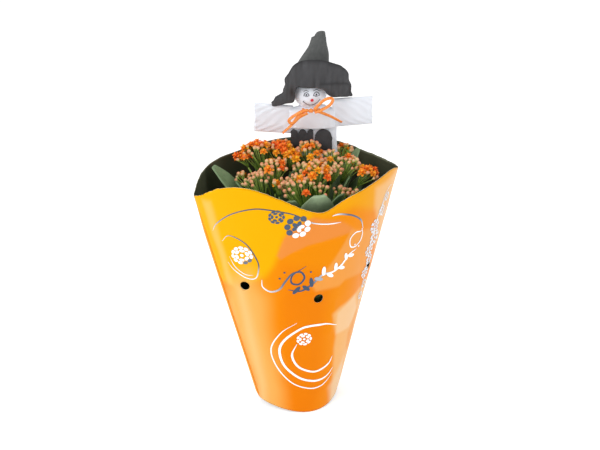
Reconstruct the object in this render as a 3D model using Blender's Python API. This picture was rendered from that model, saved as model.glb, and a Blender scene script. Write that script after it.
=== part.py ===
"""Potted kalanchoe in a flared florist's sleeve, with a cloth ghost on a stick.

Metres, +Z up. The origin is the centre of the base. The front faces -Y, and the
sleeve's two weld seams lie on a line turned SEAM_TURN about Z.
"""

import math

import bmesh
import bpy
from mathutils import Matrix, Vector

# Driving dimensions
GAP = 0.0004  # between pieces that touch

SEAM_TURN = math.radians(21.8)
SLEEVE_TIP_Z = 0.2466  # height of the seams' upper ends
SLEEVE_TOP_HALF = 0.1107  # half the mouth, seam to seam
SLEEVE_TOP_DEPTH = 0.0668  # axis to the middle of a panel, at the mouth
SLEEVE_BASE_HALF = 0.0421
SLEEVE_BASE_DEPTH = 0.0385
LIP_ROOM_HALF = 0.02078  # between the pot's lip and the sleeve, towards a seam
LIP_ROOM_DEPTH = 0.0028  # and towards the middle of a panel
SLEEVE_WALL = 0.0008
HEM_RISE = 0.0067  # the flat-cut hem is higher at the seams
VENT_DIAMETER = 0.0097
VENTS = ((-53.5, 0.616), (0.0, 0.564), (53.5, 0.616))  # degrees round a panel, share of SLEEVE_TIP_Z
CUTTER_REACH = 0.006  # how far a cutter stands out of each side of a wall

POT_HEIGHT = 0.088
POT_TOP_R = 0.0458
POT_BASE_R = 0.0335
POT_WALL = 0.0012
POT_LIP = 0.0022  # how far the rolled rim stands out
POT_FOOT = 0.0025
DRAIN_R = 0.0035
DRAIN_RING = 0.019
LIP_HEIGHT = 0.011
SOIL_DEPTH = 0.068
SOIL_CROWN = 0.004

SHOOT_R = 0.0032
SHOOT_DROP = 0.0606  # the shoots end this far under the sleeve's tips
SHOOT_TOP = SLEEVE_TIP_Z - SHOOT_DROP
SHOOT_BASE_RING = 0.017
SHOOT_TOP_RING = 0.024

LEAF_LENGTH = 0.064
LEAF_WIDTH = 0.036
LEAF_THICKNESS = 0.0022
PETIOLE_WIDTH = 0.0034
LEAF_CUP = 0.10
LEAF_DROOP = 0.10
LEAF_LEAN_LOWEST = math.radians(44)
LEAF_LEAN_HIGHEST = math.radians(80)

HEAD_R = 0.0150
HEAD_HEIGHT = 0.019
STALK_R = 0.0009
FOOT_RING = 0.0027  # the stalks stand in a ring on a shoot's end
FOOT_STEP = math.radians(62)

DOLL_X = 0.0130
DOLL_Y = 0.0460
DOLL_RISE = 0.1390  # the middle of the doll's head is this far over the shoots' ends
HEAD_CENTRE_Z = SHOOT_TOP + DOLL_RISE
FACE_HALF = 0.0165
HEAD_SHIFT = 0.0010  # the head sits this far left of the doll's line
ROBE_WIDTH = 0.0490
ROBE_HEM_Z = HEAD_CENTRE_Z - 0.0690
ROBE_THICKNESS = 0.0060
SLEEVE_ARM_HEIGHT = 0.0290
ARM_REACH_LEFT = 0.0375
ARM_REACH_RIGHT = 0.0320
ARM_RISE = 0.0020  # an arm's outer end is this much higher
STICK_R = 0.0015
STICK_FOOT = (-0.0060, 0.0060)
ROBE_SHIFT = 0.0035  # the robe hangs a little to the right of the face
RIBBON_WIDTH = 0.0030
FELT = 0.0012
HAT_TIP_Z = HEAD_CENTRE_Z + 0.0630
HAT_LEAN = 0.21  # sideways for each metre of height

SEAM_AXIS = Vector((math.cos(SEAM_TURN), math.sin(SEAM_TURN), 0))
FRONT_AXIS = Vector((math.sin(SEAM_TURN), -math.cos(SEAM_TURN), 0))


# Helpers
def clear_scene():
    for obj in list(bpy.data.objects):
        bpy.data.objects.remove(obj, do_unlink=True)


def finish_material(name, colour, roughness, metallic=0.0):
    material = bpy.data.materials.new(name)
    material.use_nodes = True
    shader = material.node_tree.nodes["Principled BSDF"]
    shader.inputs["Base Color"].default_value = (*colour, 1.0)
    shader.inputs["Roughness"].default_value = roughness
    shader.inputs["Metallic"].default_value = metallic
    return material


def place(name, data, material):
    obj = bpy.data.objects.new(name, data)
    bpy.context.scene.collection.objects.link(obj)
    data.materials.append(material)
    return obj


def mesh_object(name, bm, material, smooth=True):
    mesh = bpy.data.meshes.new(name)
    bmesh.ops.recalc_face_normals(bm, faces=bm.faces)
    bm.to_mesh(mesh)
    bm.free()
    if smooth:
        mesh.shade_smooth()
        mesh.set_sharp_from_angle(angle=math.radians(35))
    return place(name, mesh, material)


def turned(profile, steps):
    """A closed body turned about Z from (radius, height) points that start and end on the axis."""
    bm = bmesh.new()
    points = [bm.verts.new((radius, 0, height)) for radius, height in profile]
    edges = [bm.edges.new(pair) for pair in zip(points, points[1:])]
    bmesh.ops.spin(
        bm, geom=points + edges, axis=(0, 0, 1), cent=(0, 0, 0),
        angle=math.tau, steps=steps, use_merge=True,
    )
    bmesh.ops.remove_doubles(bm, verts=bm.verts, dist=1e-6)
    return bm


def disc(radius, reach):
    """The profile of a round cutter."""
    return [(0, -reach), (radius, -reach), (radius, reach), (0, reach)]


def slab(outline, thickness, matrix):
    """An outline in X and Z, centred on y = 0 and given a thickness."""
    bm = bmesh.new()
    face = bm.faces.new([bm.verts.new((x, -thickness / 2, z)) for x, z in outline])
    grown = bmesh.ops.extrude_face_region(bm, geom=[face])
    moved = [item for item in grown["geom"] if isinstance(item, bmesh.types.BMVert)]
    bmesh.ops.translate(bm, verts=moved, vec=(0, thickness, 0))
    bmesh.ops.transform(bm, matrix=matrix, verts=bm.verts)
    return bm


def tube(name, points, radius, material, resolution=2):
    curve = bpy.data.curves.new(name, "CURVE")
    curve.dimensions = "3D"
    curve.bevel_depth = radius
    curve.bevel_resolution = resolution
    curve.use_fill_caps = True
    spline = curve.splines.new("POLY")
    spline.points.add(len(points) - 1)
    for knot, point in zip(spline.points, points):
        knot.co = (*point, 1)
    return place(name, curve, material)


def smooth_path(knots, count):
    """Evenly numbered points on a smooth curve through the knots."""
    knots = [Vector(knot) for knot in knots]
    ends = [2 * knots[0] - knots[1]] + knots + [2 * knots[-1] - knots[-2]]
    path = []
    for number in range(count):
        along = number / (count - 1) * (len(knots) - 1)
        start = min(int(along), len(knots) - 2)
        t = along - start
        a, b, c, d = ends[start : start + 4]
        path.append(
            0.5 * (2 * b + (c - a) * t + (2 * a - 5 * b + 4 * c - d) * t * t
                   + (3 * b - a - 3 * c + d) * t ** 3)
        )
    return path


def blend_heights(heights, along):
    """Smooth height between evenly spaced stations, for along from 0 to 1."""
    return smooth_path([(0, 0, height) for height in heights], 121)[round(along * 120)].z


# The sleeve: two printed film panels welded at the sides, cut flat at the hem
FRONT_RIM = (0.000, 0.016, 0.018, 0.009, -0.003, -0.010, -0.001, 0.004, 0.008, 0.010, 0.000)
BACK_RIM = (0.000, 0.013, 0.0165, 0.0165, 0.018, 0.0205, 0.0215, 0.0205, 0.016, 0.008, 0.000)


def flare(at_base, at_lip, at_tip, z):
    """A flare in two straight lengths, which meet beside the pot's lip."""
    if z < POT_HEIGHT:
        return at_base + (at_lip - at_base) * z / POT_HEIGHT
    return at_lip + (at_tip - at_lip) * (z - POT_HEIGHT) / (SLEEVE_TIP_Z - POT_HEIGHT)


def sleeve_half(z):
    return flare(SLEEVE_BASE_HALF, POT_TOP_R + LIP_ROOM_HALF, SLEEVE_TOP_HALF, z)


def sleeve_depth(z):
    return flare(SLEEVE_BASE_DEPTH, POT_TOP_R + LIP_ROOM_DEPTH, SLEEVE_TOP_DEPTH, z)


def sleeve_roundness(z):
    return 0.60 - 0.25 * z / SLEEVE_TIP_Z


def sleeve_point(turn, z, inset=0.0):
    """A point on the sleeve: turn 0 is the front's middle, a quarter turn is the right seam."""
    roundness = sleeve_roundness(z)
    across, towards = math.sin(turn), math.cos(turn)
    u = sleeve_half(z) * across
    v = sleeve_depth(z) * (roundness * towards + (1 - roundness) * towards * abs(towards))
    du = sleeve_half(z) * towards
    dv = -sleeve_depth(z) * across * (roundness + 2 * (1 - roundness) * abs(towards))
    size = math.hypot(du, dv)
    u += inset * dv / size
    v -= inset * du / size
    return SEAM_AXIS * u + FRONT_AXIS * v + Vector((0, 0, z))


def rim_height(turn):
    along = (math.sin(turn) + 1) / 2
    heights = FRONT_RIM if math.cos(turn) >= 0 else BACK_RIM
    return SLEEVE_TIP_Z + blend_heights(heights, along)


def hem_height(turn):
    return HEM_RISE * math.sin(turn) ** 2


def film_room(point):
    """How far a point is inside the film, measured across the sleeve."""
    u, v = point.dot(SEAM_AXIS), point.dot(FRONT_AXIS)
    across = min(1.0, abs(u) / (sleeve_half(point.z) - SLEEVE_WALL))
    towards = math.sqrt(1 - across * across)
    roundness = sleeve_roundness(point.z)
    return sleeve_depth(point.z) * (roundness + (1 - roundness) * towards) * towards - abs(v)


def make_sleeve(material):
    around, rows = 44, 9
    bm = bmesh.new()
    rings = []
    for inset, order in ((0.0, range(rows + 1)), (SLEEVE_WALL, range(rows, -1, -1))):
        for row in order:
            ring = []
            for step in range(around):
                turn = step / around * math.tau
                low, high = hem_height(turn), rim_height(turn)
                z = low + (high - low) * row / rows
                ring.append(bm.verts.new(sleeve_point(turn, z, inset)))
            rings.append(ring)
    for ring, following in zip(rings, rings[1:] + rings[:1]):
        for step in range(around):
            after = (step + 1) % around
            bm.faces.new((ring[step], ring[after], following[after], following[step]))
    sleeve = mesh_object("sleeve_film", bm, material)
    for number, (panel, (degrees, share)) in enumerate((p, vent) for p in (0, 1) for vent in VENTS):
        centre = sleeve_point(panel * math.pi + math.radians(degrees), share * SLEEVE_TIP_Z)
        outward = Vector((centre.x, centre.y, 0)).normalized()
        bm = turned(disc(VENT_DIAMETER / 2, CUTTER_REACH), 12)
        turn_out = outward.to_track_quat("Z", "Y").to_matrix().to_4x4()
        bmesh.ops.transform(bm, matrix=Matrix.Translation(centre) @ turn_out, verts=bm.verts)
        cutter = mesh_object(f"vent_cutter_{number}", bm, material, smooth=False)
        cutter.hide_render = True
        cutter.display_type = "WIRE"
        cut = sleeve.modifiers.new(f"vent_{number}", "BOOLEAN")
        cut.operation = "DIFFERENCE"
        cut.object = cutter
    return sleeve


# The grow pot, its potting mix and the shoots
def pot_radius(z):
    return POT_BASE_R + (POT_TOP_R - POT_LIP - POT_BASE_R) * z / POT_HEIGHT


def make_pot(material):
    lip_z = POT_HEIGHT - LIP_HEIGHT
    profile = [
        (0, POT_FOOT), (POT_BASE_R - 0.006, POT_FOOT), (POT_BASE_R - 0.0045, 0), (POT_BASE_R, 0),
        (pot_radius(lip_z), lip_z), (POT_TOP_R, lip_z + POT_LIP), (POT_TOP_R, POT_HEIGHT),
        (pot_radius(POT_HEIGHT) - POT_WALL, POT_HEIGHT),
        (pot_radius(POT_FOOT) - POT_WALL, POT_FOOT + POT_WALL), (0, POT_FOOT + POT_WALL),
    ]
    pot = mesh_object("grow_pot", turned(profile, 40), material)
    for number in range(4):
        turn = math.radians(45 + 90 * number)
        bm = turned(disc(DRAIN_R, CUTTER_REACH), 10)
        spot = Matrix.Translation((DRAIN_RING * math.cos(turn), DRAIN_RING * math.sin(turn), POT_FOOT))
        bmesh.ops.transform(bm, matrix=spot, verts=bm.verts)
        cutter = mesh_object(f"drain_cutter_{number}", bm, material, smooth=False)
        cutter.hide_render = True
        cutter.display_type = "WIRE"
        cut = pot.modifiers.new(f"drain_{number}", "BOOLEAN")
        cut.operation = "DIFFERENCE"
        cut.object = cutter
    return pot


def make_soil(material):
    floor_z = POT_FOOT + POT_WALL + GAP
    low_r = pot_radius(POT_FOOT) - POT_WALL - 2 * GAP
    top_z = floor_z + SOIL_DEPTH
    top_r = pot_radius(top_z) - POT_WALL - 2 * GAP
    profile = [(0, floor_z), (low_r, floor_z), (top_r, top_z), (top_r * 0.6, top_z + SOIL_CROWN * 0.7),
               (0, top_z + SOIL_CROWN)]
    return mesh_object("potting_soil", turned(profile, 32), material)


def soil_top():
    return POT_FOOT + POT_WALL + GAP + SOIL_DEPTH + SOIL_CROWN


SHOOT_TURNS = [math.radians(turn) for turn in (35, 125, 215, 305)]


def shoot_line(turn):
    base = Vector((SHOOT_BASE_RING * math.cos(turn), SHOOT_BASE_RING * math.sin(turn), soil_top() + GAP))
    top = Vector((SHOOT_TOP_RING * math.cos(turn), SHOOT_TOP_RING * math.sin(turn), SHOOT_TOP))
    return base, top


def make_shoots(material):
    for number, turn in enumerate(SHOOT_TURNS):
        base, top = shoot_line(turn)
        middle = (base + top) / 2 + Vector((0.0010, -0.0010, 0))
        tube(f"shoot_stem_{number + 1}", smooth_path([base, middle, top], 7), SHOOT_R, material)


# Leaves: turned steps up each shoot, each blade leaning out until it meets the film
LEAF_STEPS = (
    # share of the way up the shoot, degrees from the shoot's own direction, length and width shares
    (0.155, 0, 0.86, 0.92),
    (0.297, 42, 0.95, 1.00),
    (0.439, -42, 1.00, 1.00),
    (0.581, 10, 1.00, 1.00),
    (0.723, 47, 0.95, 0.92),
)
UPPER_LEAVES = (
    # shoot, foot over the shoot's top, tip in X and Y and over the shoot's top, width share
    (0, -0.0170, (0.0625, 0.0350, 0.0820), 0.60),
    (0, -0.0100, (0.0800, 0.0060, 0.0400), 0.80),
    (1, -0.0120, (0.0000, 0.0020, 0.0720), 0.90),
    (2, -0.0190, (-0.0730, -0.0290, 0.0580), 0.90),
    (2, -0.0060, (-0.0860, -0.0020, 0.0760), 0.80),
    (3, -0.0240, (0.0210, -0.0530, 0.0650), 0.96),
    (3, -0.0060, (0.0690, -0.0180, 0.0570), 0.70),
)
FILM_CLEARANCE = 0.0030


def leaf_bm(root, direction, length, width, lean):
    """A blade with a narrow petiole that leaves root towards direction, rising by lean."""
    bm = bmesh.new()
    bmesh.ops.create_grid(bm, x_segments=9, y_segments=4, size=0.5)
    side = direction.cross(Vector((0, 0, 1))).normalized()
    for vert in bm.verts:
        t = vert.co.x + 0.5
        s = vert.co.y * 2
        blade = max(0.0, (t - 0.26) / 0.74)
        spread = math.sin(math.pi * min(1.0, blade ** 0.75 * 0.97 + 0.03)) ** 0.62 if blade else 0.0
        half = max(PETIOLE_WIDTH / 2, width / 2 * spread)
        rise = lean - LEAF_DROOP * t
        centre = root + length * t * (direction * math.cos(rise) + Vector((0, 0, math.sin(rise))))
        up = Vector((0, 0, math.cos(rise))) - direction * math.sin(rise)
        vert.co = centre + side * (half * s) + up * (LEAF_CUP * width * s * s * spread)
    return bm


def make_leaf(name, root, direction, length, width, lean, material):
    """The blade rises from lean until it clears the film, and the rise it ends with is returned."""
    bm = leaf_bm(root, direction, length, width, lean)
    while min(film_room(vert.co) for vert in bm.verts) < FILM_CLEARANCE and lean < LEAF_LEAN_HIGHEST:
        lean += math.radians(2)
        bm.free()
        bm = leaf_bm(root, direction, length, width, lean)
    leaf = mesh_object(name, bm, material)
    thick = leaf.modifiers.new("thickness", "SOLIDIFY")
    thick.thickness = LEAF_THICKNESS
    thick.offset = 0
    return lean


def make_upper_leaves(number, material):
    """The longest leaves, which reach up between the flower heads to chosen places."""
    for shoot, height, tip, width_share in UPPER_LEAVES:
        number += 1
        base, top = shoot_line(SHOOT_TURNS[shoot])
        stem = base.lerp(top, 1 + height / (top.z - base.z))
        direction = Vector((tip[0] - stem.x, tip[1] - stem.y, 0)).normalized()
        root = stem + direction * (SHOOT_R + LEAF_THICKNESS / 2 + 4 * GAP)
        reach = Vector((tip[0], tip[1], SHOOT_TOP + tip[2])) - root
        lean = math.atan2(reach.z, math.hypot(reach.x, reach.y)) + LEAF_DROOP
        make_leaf(f"leaf_{number:02d}", root, direction, reach.length,
                  LEAF_WIDTH * width_share, lean, material)


def make_leaves(material):
    number = 0
    for shoot_turn in SHOOT_TURNS:
        base, top = shoot_line(shoot_turn)
        lean = LEAF_LEAN_LOWEST
        for share, degrees, length_share, width_share in LEAF_STEPS:
            number += 1
            stem = base.lerp(top, share)
            turn = shoot_turn + math.radians(degrees)
            direction = Vector((math.cos(turn), math.sin(turn), 0))
            root = stem + direction * (SHOOT_R + LEAF_THICKNESS / 2 + 4 * GAP)
            lean = make_leaf(f"leaf_{number:02d}", root, direction, LEAF_LENGTH * length_share,
                             LEAF_WIDTH * width_share, lean, material)
    make_upper_leaves(number, material)


# Flower heads: domed clusters on thin stalks that stand on the shoots' ends
FLOWER_HEADS = (
    # shoot, x, y, top over the shoot's top, size share
    (1, -0.0470, 0.0260, 0.093, 0.93),
    (1, -0.0185, 0.0330, 0.093, 0.93),
    (2, -0.0250, 0.0020, 0.084, 0.85),
    (2, -0.0450, -0.0080, 0.073, 0.80),
    (3, -0.0040, -0.0250, 0.075, 1.00),
    (3, 0.0200, -0.0080, 0.085, 0.90),
    (0, 0.0100, 0.0270, 0.094, 0.80),
    (0, 0.0330, 0.0230, 0.085, 0.75),
    (3, 0.0490, -0.0090, 0.057, 0.70),
    (0, 0.0560, 0.0155, 0.080, 0.72),
    (0, 0.0780, 0.0010, 0.074, 0.56),
    (0, 0.0510, 0.0580, 0.079, 0.70),
)


def head_bm(foot, top, share):
    """A stalk that opens into a dome, turned about the line from foot to top."""
    line = top - foot
    length = line.length
    height = HEAD_HEIGHT * share
    radius = HEAD_R * share
    neck = length - height
    profile = [
        (0, 0), (STALK_R, 0), (STALK_R, neck * 0.6), (STALK_R * 1.6, neck),
        (radius * 0.55, neck + height * 0.22), (radius, neck + height * 0.55),
        (radius * 0.86, neck + height * 0.82), (radius * 0.45, length * 0.985), (0, length),
    ]
    bm = turned(profile, 10)
    stand = line.to_track_quat("Z", "Y").to_matrix().to_4x4()
    bmesh.ops.transform(bm, matrix=Matrix.Translation(foot) @ stand, verts=bm.verts)
    return bm


def make_heads(material):
    number = 0
    for shoot, shoot_turn in enumerate(SHOOT_TURNS):
        end = shoot_line(shoot_turn)[1]
        heads = [
            (Vector((x, y, SHOOT_TOP + rise)), share)
            for stem, x, y, rise, share in FLOWER_HEADS if stem == shoot
        ]
        heads.sort(key=lambda head: math.atan2(head[0].y - end.y, head[0].x - end.x))
        middle = sum((head[0] for head in heads), Vector()) / len(heads) - end
        for place_number, (target, share) in enumerate(heads):
            number += 1
            step = place_number - (len(heads) - 1) / 2
            spot = math.atan2(middle.y, middle.x) + step * FOOT_STEP
            foot_z = SHOOT_R * 0.5 + 4 * GAP
            foot = end + Vector((FOOT_RING * math.cos(spot), FOOT_RING * math.sin(spot), foot_z))
            mesh_object(f"flower_head_{number:02d}", head_bm(foot, target, share), material)


# The cloth ghost on its stick
def doll_shift(x, y, z):
    return Matrix.Translation((DOLL_X + x, DOLL_Y + y, z))


def make_doll(gauze, crepe, felt, raffia, wood):
    face = bmesh.new()
    bmesh.ops.create_uvsphere(face, u_segments=18, v_segments=12, radius=1)
    shape = Matrix.Diagonal((FACE_HALF, FACE_HALF * 0.90, FACE_HALF, 1))
    bmesh.ops.transform(face, matrix=doll_shift(-HEAD_SHIFT, 0, HEAD_CENTRE_Z) @ shape, verts=face.verts)
    mesh_object("doll_head", face, gauze)

    neck_z = HEAD_CENTRE_Z - FACE_HALF - GAP
    half = ROBE_WIDTH / 2
    robe = [
        (-half, ROBE_HEM_Z), (half, ROBE_HEM_Z),
        (half * 0.98, neck_z - 0.010), (half * 0.80, neck_z - 0.001), (half * 0.3, neck_z),
        (-half * 0.3, neck_z), (-half * 0.80, neck_z - 0.001), (-half * 0.98, neck_z - 0.010),
    ]
    mesh_object("doll_robe", slab(robe, ROBE_THICKNESS, doll_shift(ROBE_SHIFT, 0, 0)), gauze)

    # the left arm hangs lower than the right one; heights are from the middle of the head
    arm = SLEEVE_ARM_HEIGHT
    left_z, right_z = HEAD_CENTRE_Z - 0.0435, HEAD_CENTRE_Z - 0.0350
    left_edge = ROBE_SHIFT - half - GAP
    left_end = left_edge - ARM_REACH_LEFT
    left = [(left_edge, left_z), (left_edge, left_z + arm), (left_end, left_z + arm + ARM_RISE),
            (left_end, left_z)]
    mesh_object("doll_arm_left", slab(left, ROBE_THICKNESS, doll_shift(0, 0, 0)), gauze)
    right_edge = ROBE_SHIFT + half + GAP
    right_end = right_edge + ARM_REACH_RIGHT
    right = [(right_end, right_z + ARM_RISE), (right_end, right_z + ARM_RISE + arm),
             (right_edge, right_z + arm), (right_edge, right_z)]
    mesh_object("doll_arm_right", slab(right, ROBE_THICKNESS, doll_shift(0, 0, 0)), gauze)

    felt_y = -ROBE_THICKNESS / 2 - FELT / 2 - GAP
    for name, centre_x, width, rise, height in (
        # centre and width in X, foot over the robe's hem, height
        ("felt_patch_left", -0.0085, 0.0215, 0.0100, 0.0200),
        ("felt_patch_right", 0.0130, 0.0180, 0.0080, 0.0230),
    ):
        low, high = ROBE_HEM_Z + rise, ROBE_HEM_Z + rise + height
        arc = [
            (centre_x + width / 2 * math.cos(math.radians(turn)), high - width / 2 + width / 2
             * math.sin(math.radians(turn)))
            for turn in range(0, 181, 20)
        ]
        outline = [(centre_x - width / 2, low), (centre_x + width / 2, low)] + arc
        mesh_object(name, slab(outline, FELT, doll_shift(0, felt_y, 0)), felt)

    make_hat(crepe, felt)

    soil_z = soil_top() + 2 * GAP
    stick_top = (DOLL_X + ROBE_SHIFT, DOLL_Y, ROBE_HEM_Z - STICK_R)
    tube("pick_stick", [(*STICK_FOOT, soil_z), stick_top], STICK_R, wood)
    make_bow(raffia)


HAT_BASE_R = 0.0180
BRIM_FOLD = (
    # the brim's fold, clockwise from the front as seen from above, from the middle of the head
    (0.0010, -0.0218, 0.0130), (-0.0145, -0.0196, 0.0130), (-0.0240, -0.0120, 0.0070),
    (-0.0290, 0.0000, 0.0020), (-0.0240, 0.0140, 0.0050), (0.0000, 0.0225, 0.0070),
    (0.0250, 0.0140, 0.0060), (0.0345, -0.0020, 0.0030), (0.0290, -0.0130, 0.0050),
    (0.0165, -0.0200, 0.0105),
)
BRIM_EDGE = (
    (0.0020, -0.0235, 0.0440), (-0.0160, -0.0215, 0.0380), (-0.0290, -0.0150, 0.0190),
    (-0.0380, -0.0010, -0.0030), (-0.0310, 0.0160, 0.0000), (0.0000, 0.0258, 0.0040),
    (0.0330, 0.0160, 0.0030), (0.0385, -0.0020, 0.0170), (0.0325, -0.0150, 0.0310),
    (0.0190, -0.0220, 0.0410),
)


def closed_path(knots, count):
    """Points on a smooth closed curve through the knots."""
    wrapped = [knots[-1], *knots, knots[0], knots[1]]
    whole = smooth_path(wrapped, (len(knots) + 2) * 12 + 1)
    lap = whole[12 : 12 + len(knots) * 12]
    return [lap[round(step * len(lap) / count) % len(lap)] for step in range(count)]


def make_hat(crepe, felt):
    fit = FACE_HALF + 2 * GAP
    under = [(fit * math.sin(turn), HEAD_CENTRE_Z + fit * math.cos(turn)) for turn in
             (math.radians(degrees) for degrees in (0, 20, 40, 58))]
    low_z = under[-1][1]
    rise = HAT_TIP_Z - low_z
    profile = under + [(HAT_BASE_R, low_z), (HAT_BASE_R * 0.87, low_z + rise * 0.40),
                       (HAT_BASE_R * 0.45, low_z + rise * 0.78), (HAT_BASE_R * 0.20, HAT_TIP_Z),
                       (0, HAT_TIP_Z)]
    cone = turned(profile, 16)
    for vert in cone.verts:
        vert.co.x += HAT_LEAN * max(0.0, vert.co.z - HEAD_CENTRE_Z - fit)
    bmesh.ops.transform(cone, matrix=doll_shift(-HEAD_SHIFT, 0, 0), verts=cone.verts)
    mesh_object("hat_cone", cone, crepe)

    count = 30
    step = math.tau / count
    inner_r = HAT_BASE_R + FELT / 2 + 2 * GAP
    inner_z = low_z + 0.002 - HEAD_CENTRE_Z
    inner = [Vector((-inner_r * math.sin(k * step) - HEAD_SHIFT, -inner_r * math.cos(k * step), inner_z))
             for k in range(count)]
    bm = bmesh.new()
    rings = []
    for path in (inner, closed_path(BRIM_FOLD, count), closed_path(BRIM_EDGE, count)):
        ring = [bm.verts.new(point) for point in path]
        rings.append([bm.edges.new((ring[k], ring[(k + 1) % count])) for k in range(count)])
    for ring, following in zip(rings, rings[1:]):
        bmesh.ops.bridge_loops(bm, edges=ring + following)
    bmesh.ops.transform(bm, matrix=doll_shift(0, 0, HEAD_CENTRE_Z), verts=bm.verts)
    brim = mesh_object("hat_brim", bm, felt)
    thick = brim.modifiers.new("thickness", "SOLIDIFY")
    thick.thickness = FELT
    thick.offset = 0


BOW_Y = -0.0195
KNOT_DROP = -0.0145
BOW_ROUTES = {
    # points from the doll's line in X and Y and from the middle of the head in Z, chosen by hand
    "bow_tail_left": ((-0.0030, -0.0001, -0.0145), (-0.0100, -0.001, -0.0220), (-0.0190, 0.000, -0.0315),
                      (-0.0285, 0.001, -0.0390)),
    "bow_tail_right": ((0.0035, -0.0001, -0.0145), (0.0130, -0.001, -0.0190), (0.0215, 0.000, -0.0230),
                       (0.0300, 0.001, -0.0275)),
    "bow_loop_left": ((-0.0030, -0.0035, -0.0130), (-0.0120, -0.004, -0.0140), (-0.0220, -0.004, -0.0220),
                      (-0.0210, -0.004, -0.0265), (-0.0120, -0.0045, -0.0210), (-0.0036, -0.0045, -0.0171)),
    "bow_loop_right": ((0.0035, -0.0035, -0.0130), (0.0130, -0.004, -0.0050), (0.0205, -0.004, -0.0025),
                       (0.0215, -0.004, -0.0060), (0.0130, -0.0045, -0.0120), (0.0038, -0.0045, -0.0164)),
}


def make_bow(raffia):
    knot = bmesh.new()
    bmesh.ops.create_uvsphere(knot, u_segments=10, v_segments=8, radius=1)
    shape = Matrix.Diagonal((0.0026, 0.0024, 0.0024, 1))
    spot = doll_shift(0, BOW_Y - 0.002, HEAD_CENTRE_Z + KNOT_DROP)
    bmesh.ops.transform(knot, matrix=spot @ shape, verts=knot.verts)
    mesh_object("bow_knot", knot, raffia)
    for name, route in BOW_ROUTES.items():
        points = [Vector((DOLL_X + x, DOLL_Y + BOW_Y + y, HEAD_CENTRE_Z + z)) for x, y, z in route]
        tube(name, smooth_path(points, 9 if "tail" in name else 15), RIBBON_WIDTH / 2, raffia)


def main():
    clear_scene()
    film = finish_material("printed_film", (0.98, 0.42, 0.02), 0.28, 0.25)
    pot_plastic = finish_material("pot_plastic", (0.05, 0.05, 0.055), 0.5)
    soil = finish_material("soil", (0.07, 0.045, 0.03), 0.95)
    stem_green = finish_material("stem_green", (0.20, 0.34, 0.09), 0.5)
    leaf_green = finish_material("leaf_green", (0.14, 0.27, 0.11), 0.45)
    blossom = finish_material("blossom", (0.95, 0.33, 0.04), 0.5)
    gauze = finish_material("gauze", (0.88, 0.88, 0.92), 0.8)
    crepe = finish_material("crepe", (0.16, 0.165, 0.165), 0.9)
    felt = finish_material("felt", (0.075, 0.075, 0.08), 0.95)
    raffia = finish_material("raffia", (0.95, 0.36, 0.05), 0.45)
    wood = finish_material("stick_wood", (0.62, 0.47, 0.30), 0.7)

    make_sleeve(film)
    make_pot(pot_plastic)
    make_soil(soil)
    make_shoots(stem_green)
    make_leaves(leaf_green)
    make_heads(blossom)
    make_doll(gauze, crepe, felt, raffia, wood)


main()
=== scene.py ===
"""Potted kalanchoe in a printed florist's sleeve, with a cloth ghost on a stick among the flowers.

Metres, +Z up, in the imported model's own frame. Every piece rides on its one body, "root".
"""

import math
import random

import bmesh
import bpy
from mathutils import Matrix, Vector, noise


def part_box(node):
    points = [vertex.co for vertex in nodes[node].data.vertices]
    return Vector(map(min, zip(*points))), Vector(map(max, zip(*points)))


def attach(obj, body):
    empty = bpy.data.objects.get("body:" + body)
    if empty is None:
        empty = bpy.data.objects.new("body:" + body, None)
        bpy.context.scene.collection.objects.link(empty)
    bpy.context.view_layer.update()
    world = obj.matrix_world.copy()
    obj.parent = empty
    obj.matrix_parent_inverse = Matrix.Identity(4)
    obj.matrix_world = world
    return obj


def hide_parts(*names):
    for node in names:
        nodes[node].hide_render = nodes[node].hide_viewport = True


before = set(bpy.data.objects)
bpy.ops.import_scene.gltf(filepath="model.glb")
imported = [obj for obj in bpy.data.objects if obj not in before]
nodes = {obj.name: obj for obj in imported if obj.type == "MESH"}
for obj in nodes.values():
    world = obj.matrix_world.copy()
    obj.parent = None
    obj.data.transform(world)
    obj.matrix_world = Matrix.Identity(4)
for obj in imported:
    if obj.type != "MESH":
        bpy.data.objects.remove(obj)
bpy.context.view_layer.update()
scene = bpy.context.scene
scene.view_settings.view_transform = "Standard"

# Studio: the camera stands 1.6 m away and looks a little down. A pale floor, a white room,
# a tall soft light on each side and one overhead. The film's soft streaks are painted highlights in its colour.
camera_data = bpy.data.cameras.new("camera")
camera_data.lens = 93.87
camera = bpy.data.objects.new("camera", camera_data)
scene.collection.objects.link(camera)
camera.location = (0.002, -1.4728, 0.8227)
look = Vector((0.002, 0, 0.1975)) - camera.location
camera.rotation_euler = look.to_track_quat("-Z", "Y").to_euler()
scene.camera = camera

world = bpy.data.worlds.new("white_room")
world.use_nodes = True
world.node_tree.nodes["Background"].inputs["Color"].default_value = (1, 1, 1, 1)
world.node_tree.nodes["Background"].inputs["Strength"].default_value = 0.50
scene.world = world


def area_light(name, place, aim, width, height, power):
    data = bpy.data.lights.new(name, "AREA")
    data.shape = "RECTANGLE"
    data.size = width
    data.size_y = height
    data.energy = power
    light = bpy.data.objects.new(name, data)
    light.location = place
    light.rotation_euler = (Vector(aim) - Vector(place)).to_track_quat("-Z", "Y").to_euler()
    scene.collection.objects.link(light)


area_light("key", (-0.9, -1.1, 1.3), (0, 0, 0.2), 0.6, 0.6, 7)
area_light("strip_left", (-1.0, -0.35, 0.5), (0, 0, 0.15), 0.25, 1.2, 4)
area_light("strip_right", (1.1, -0.7, 0.6), (0, 0, 0.15), 0.3, 1.2, 4)
area_light("overhead", (0.1, 0.2, 1.5), (0, 0, 0.2), 0.8, 0.8, 4)


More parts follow.
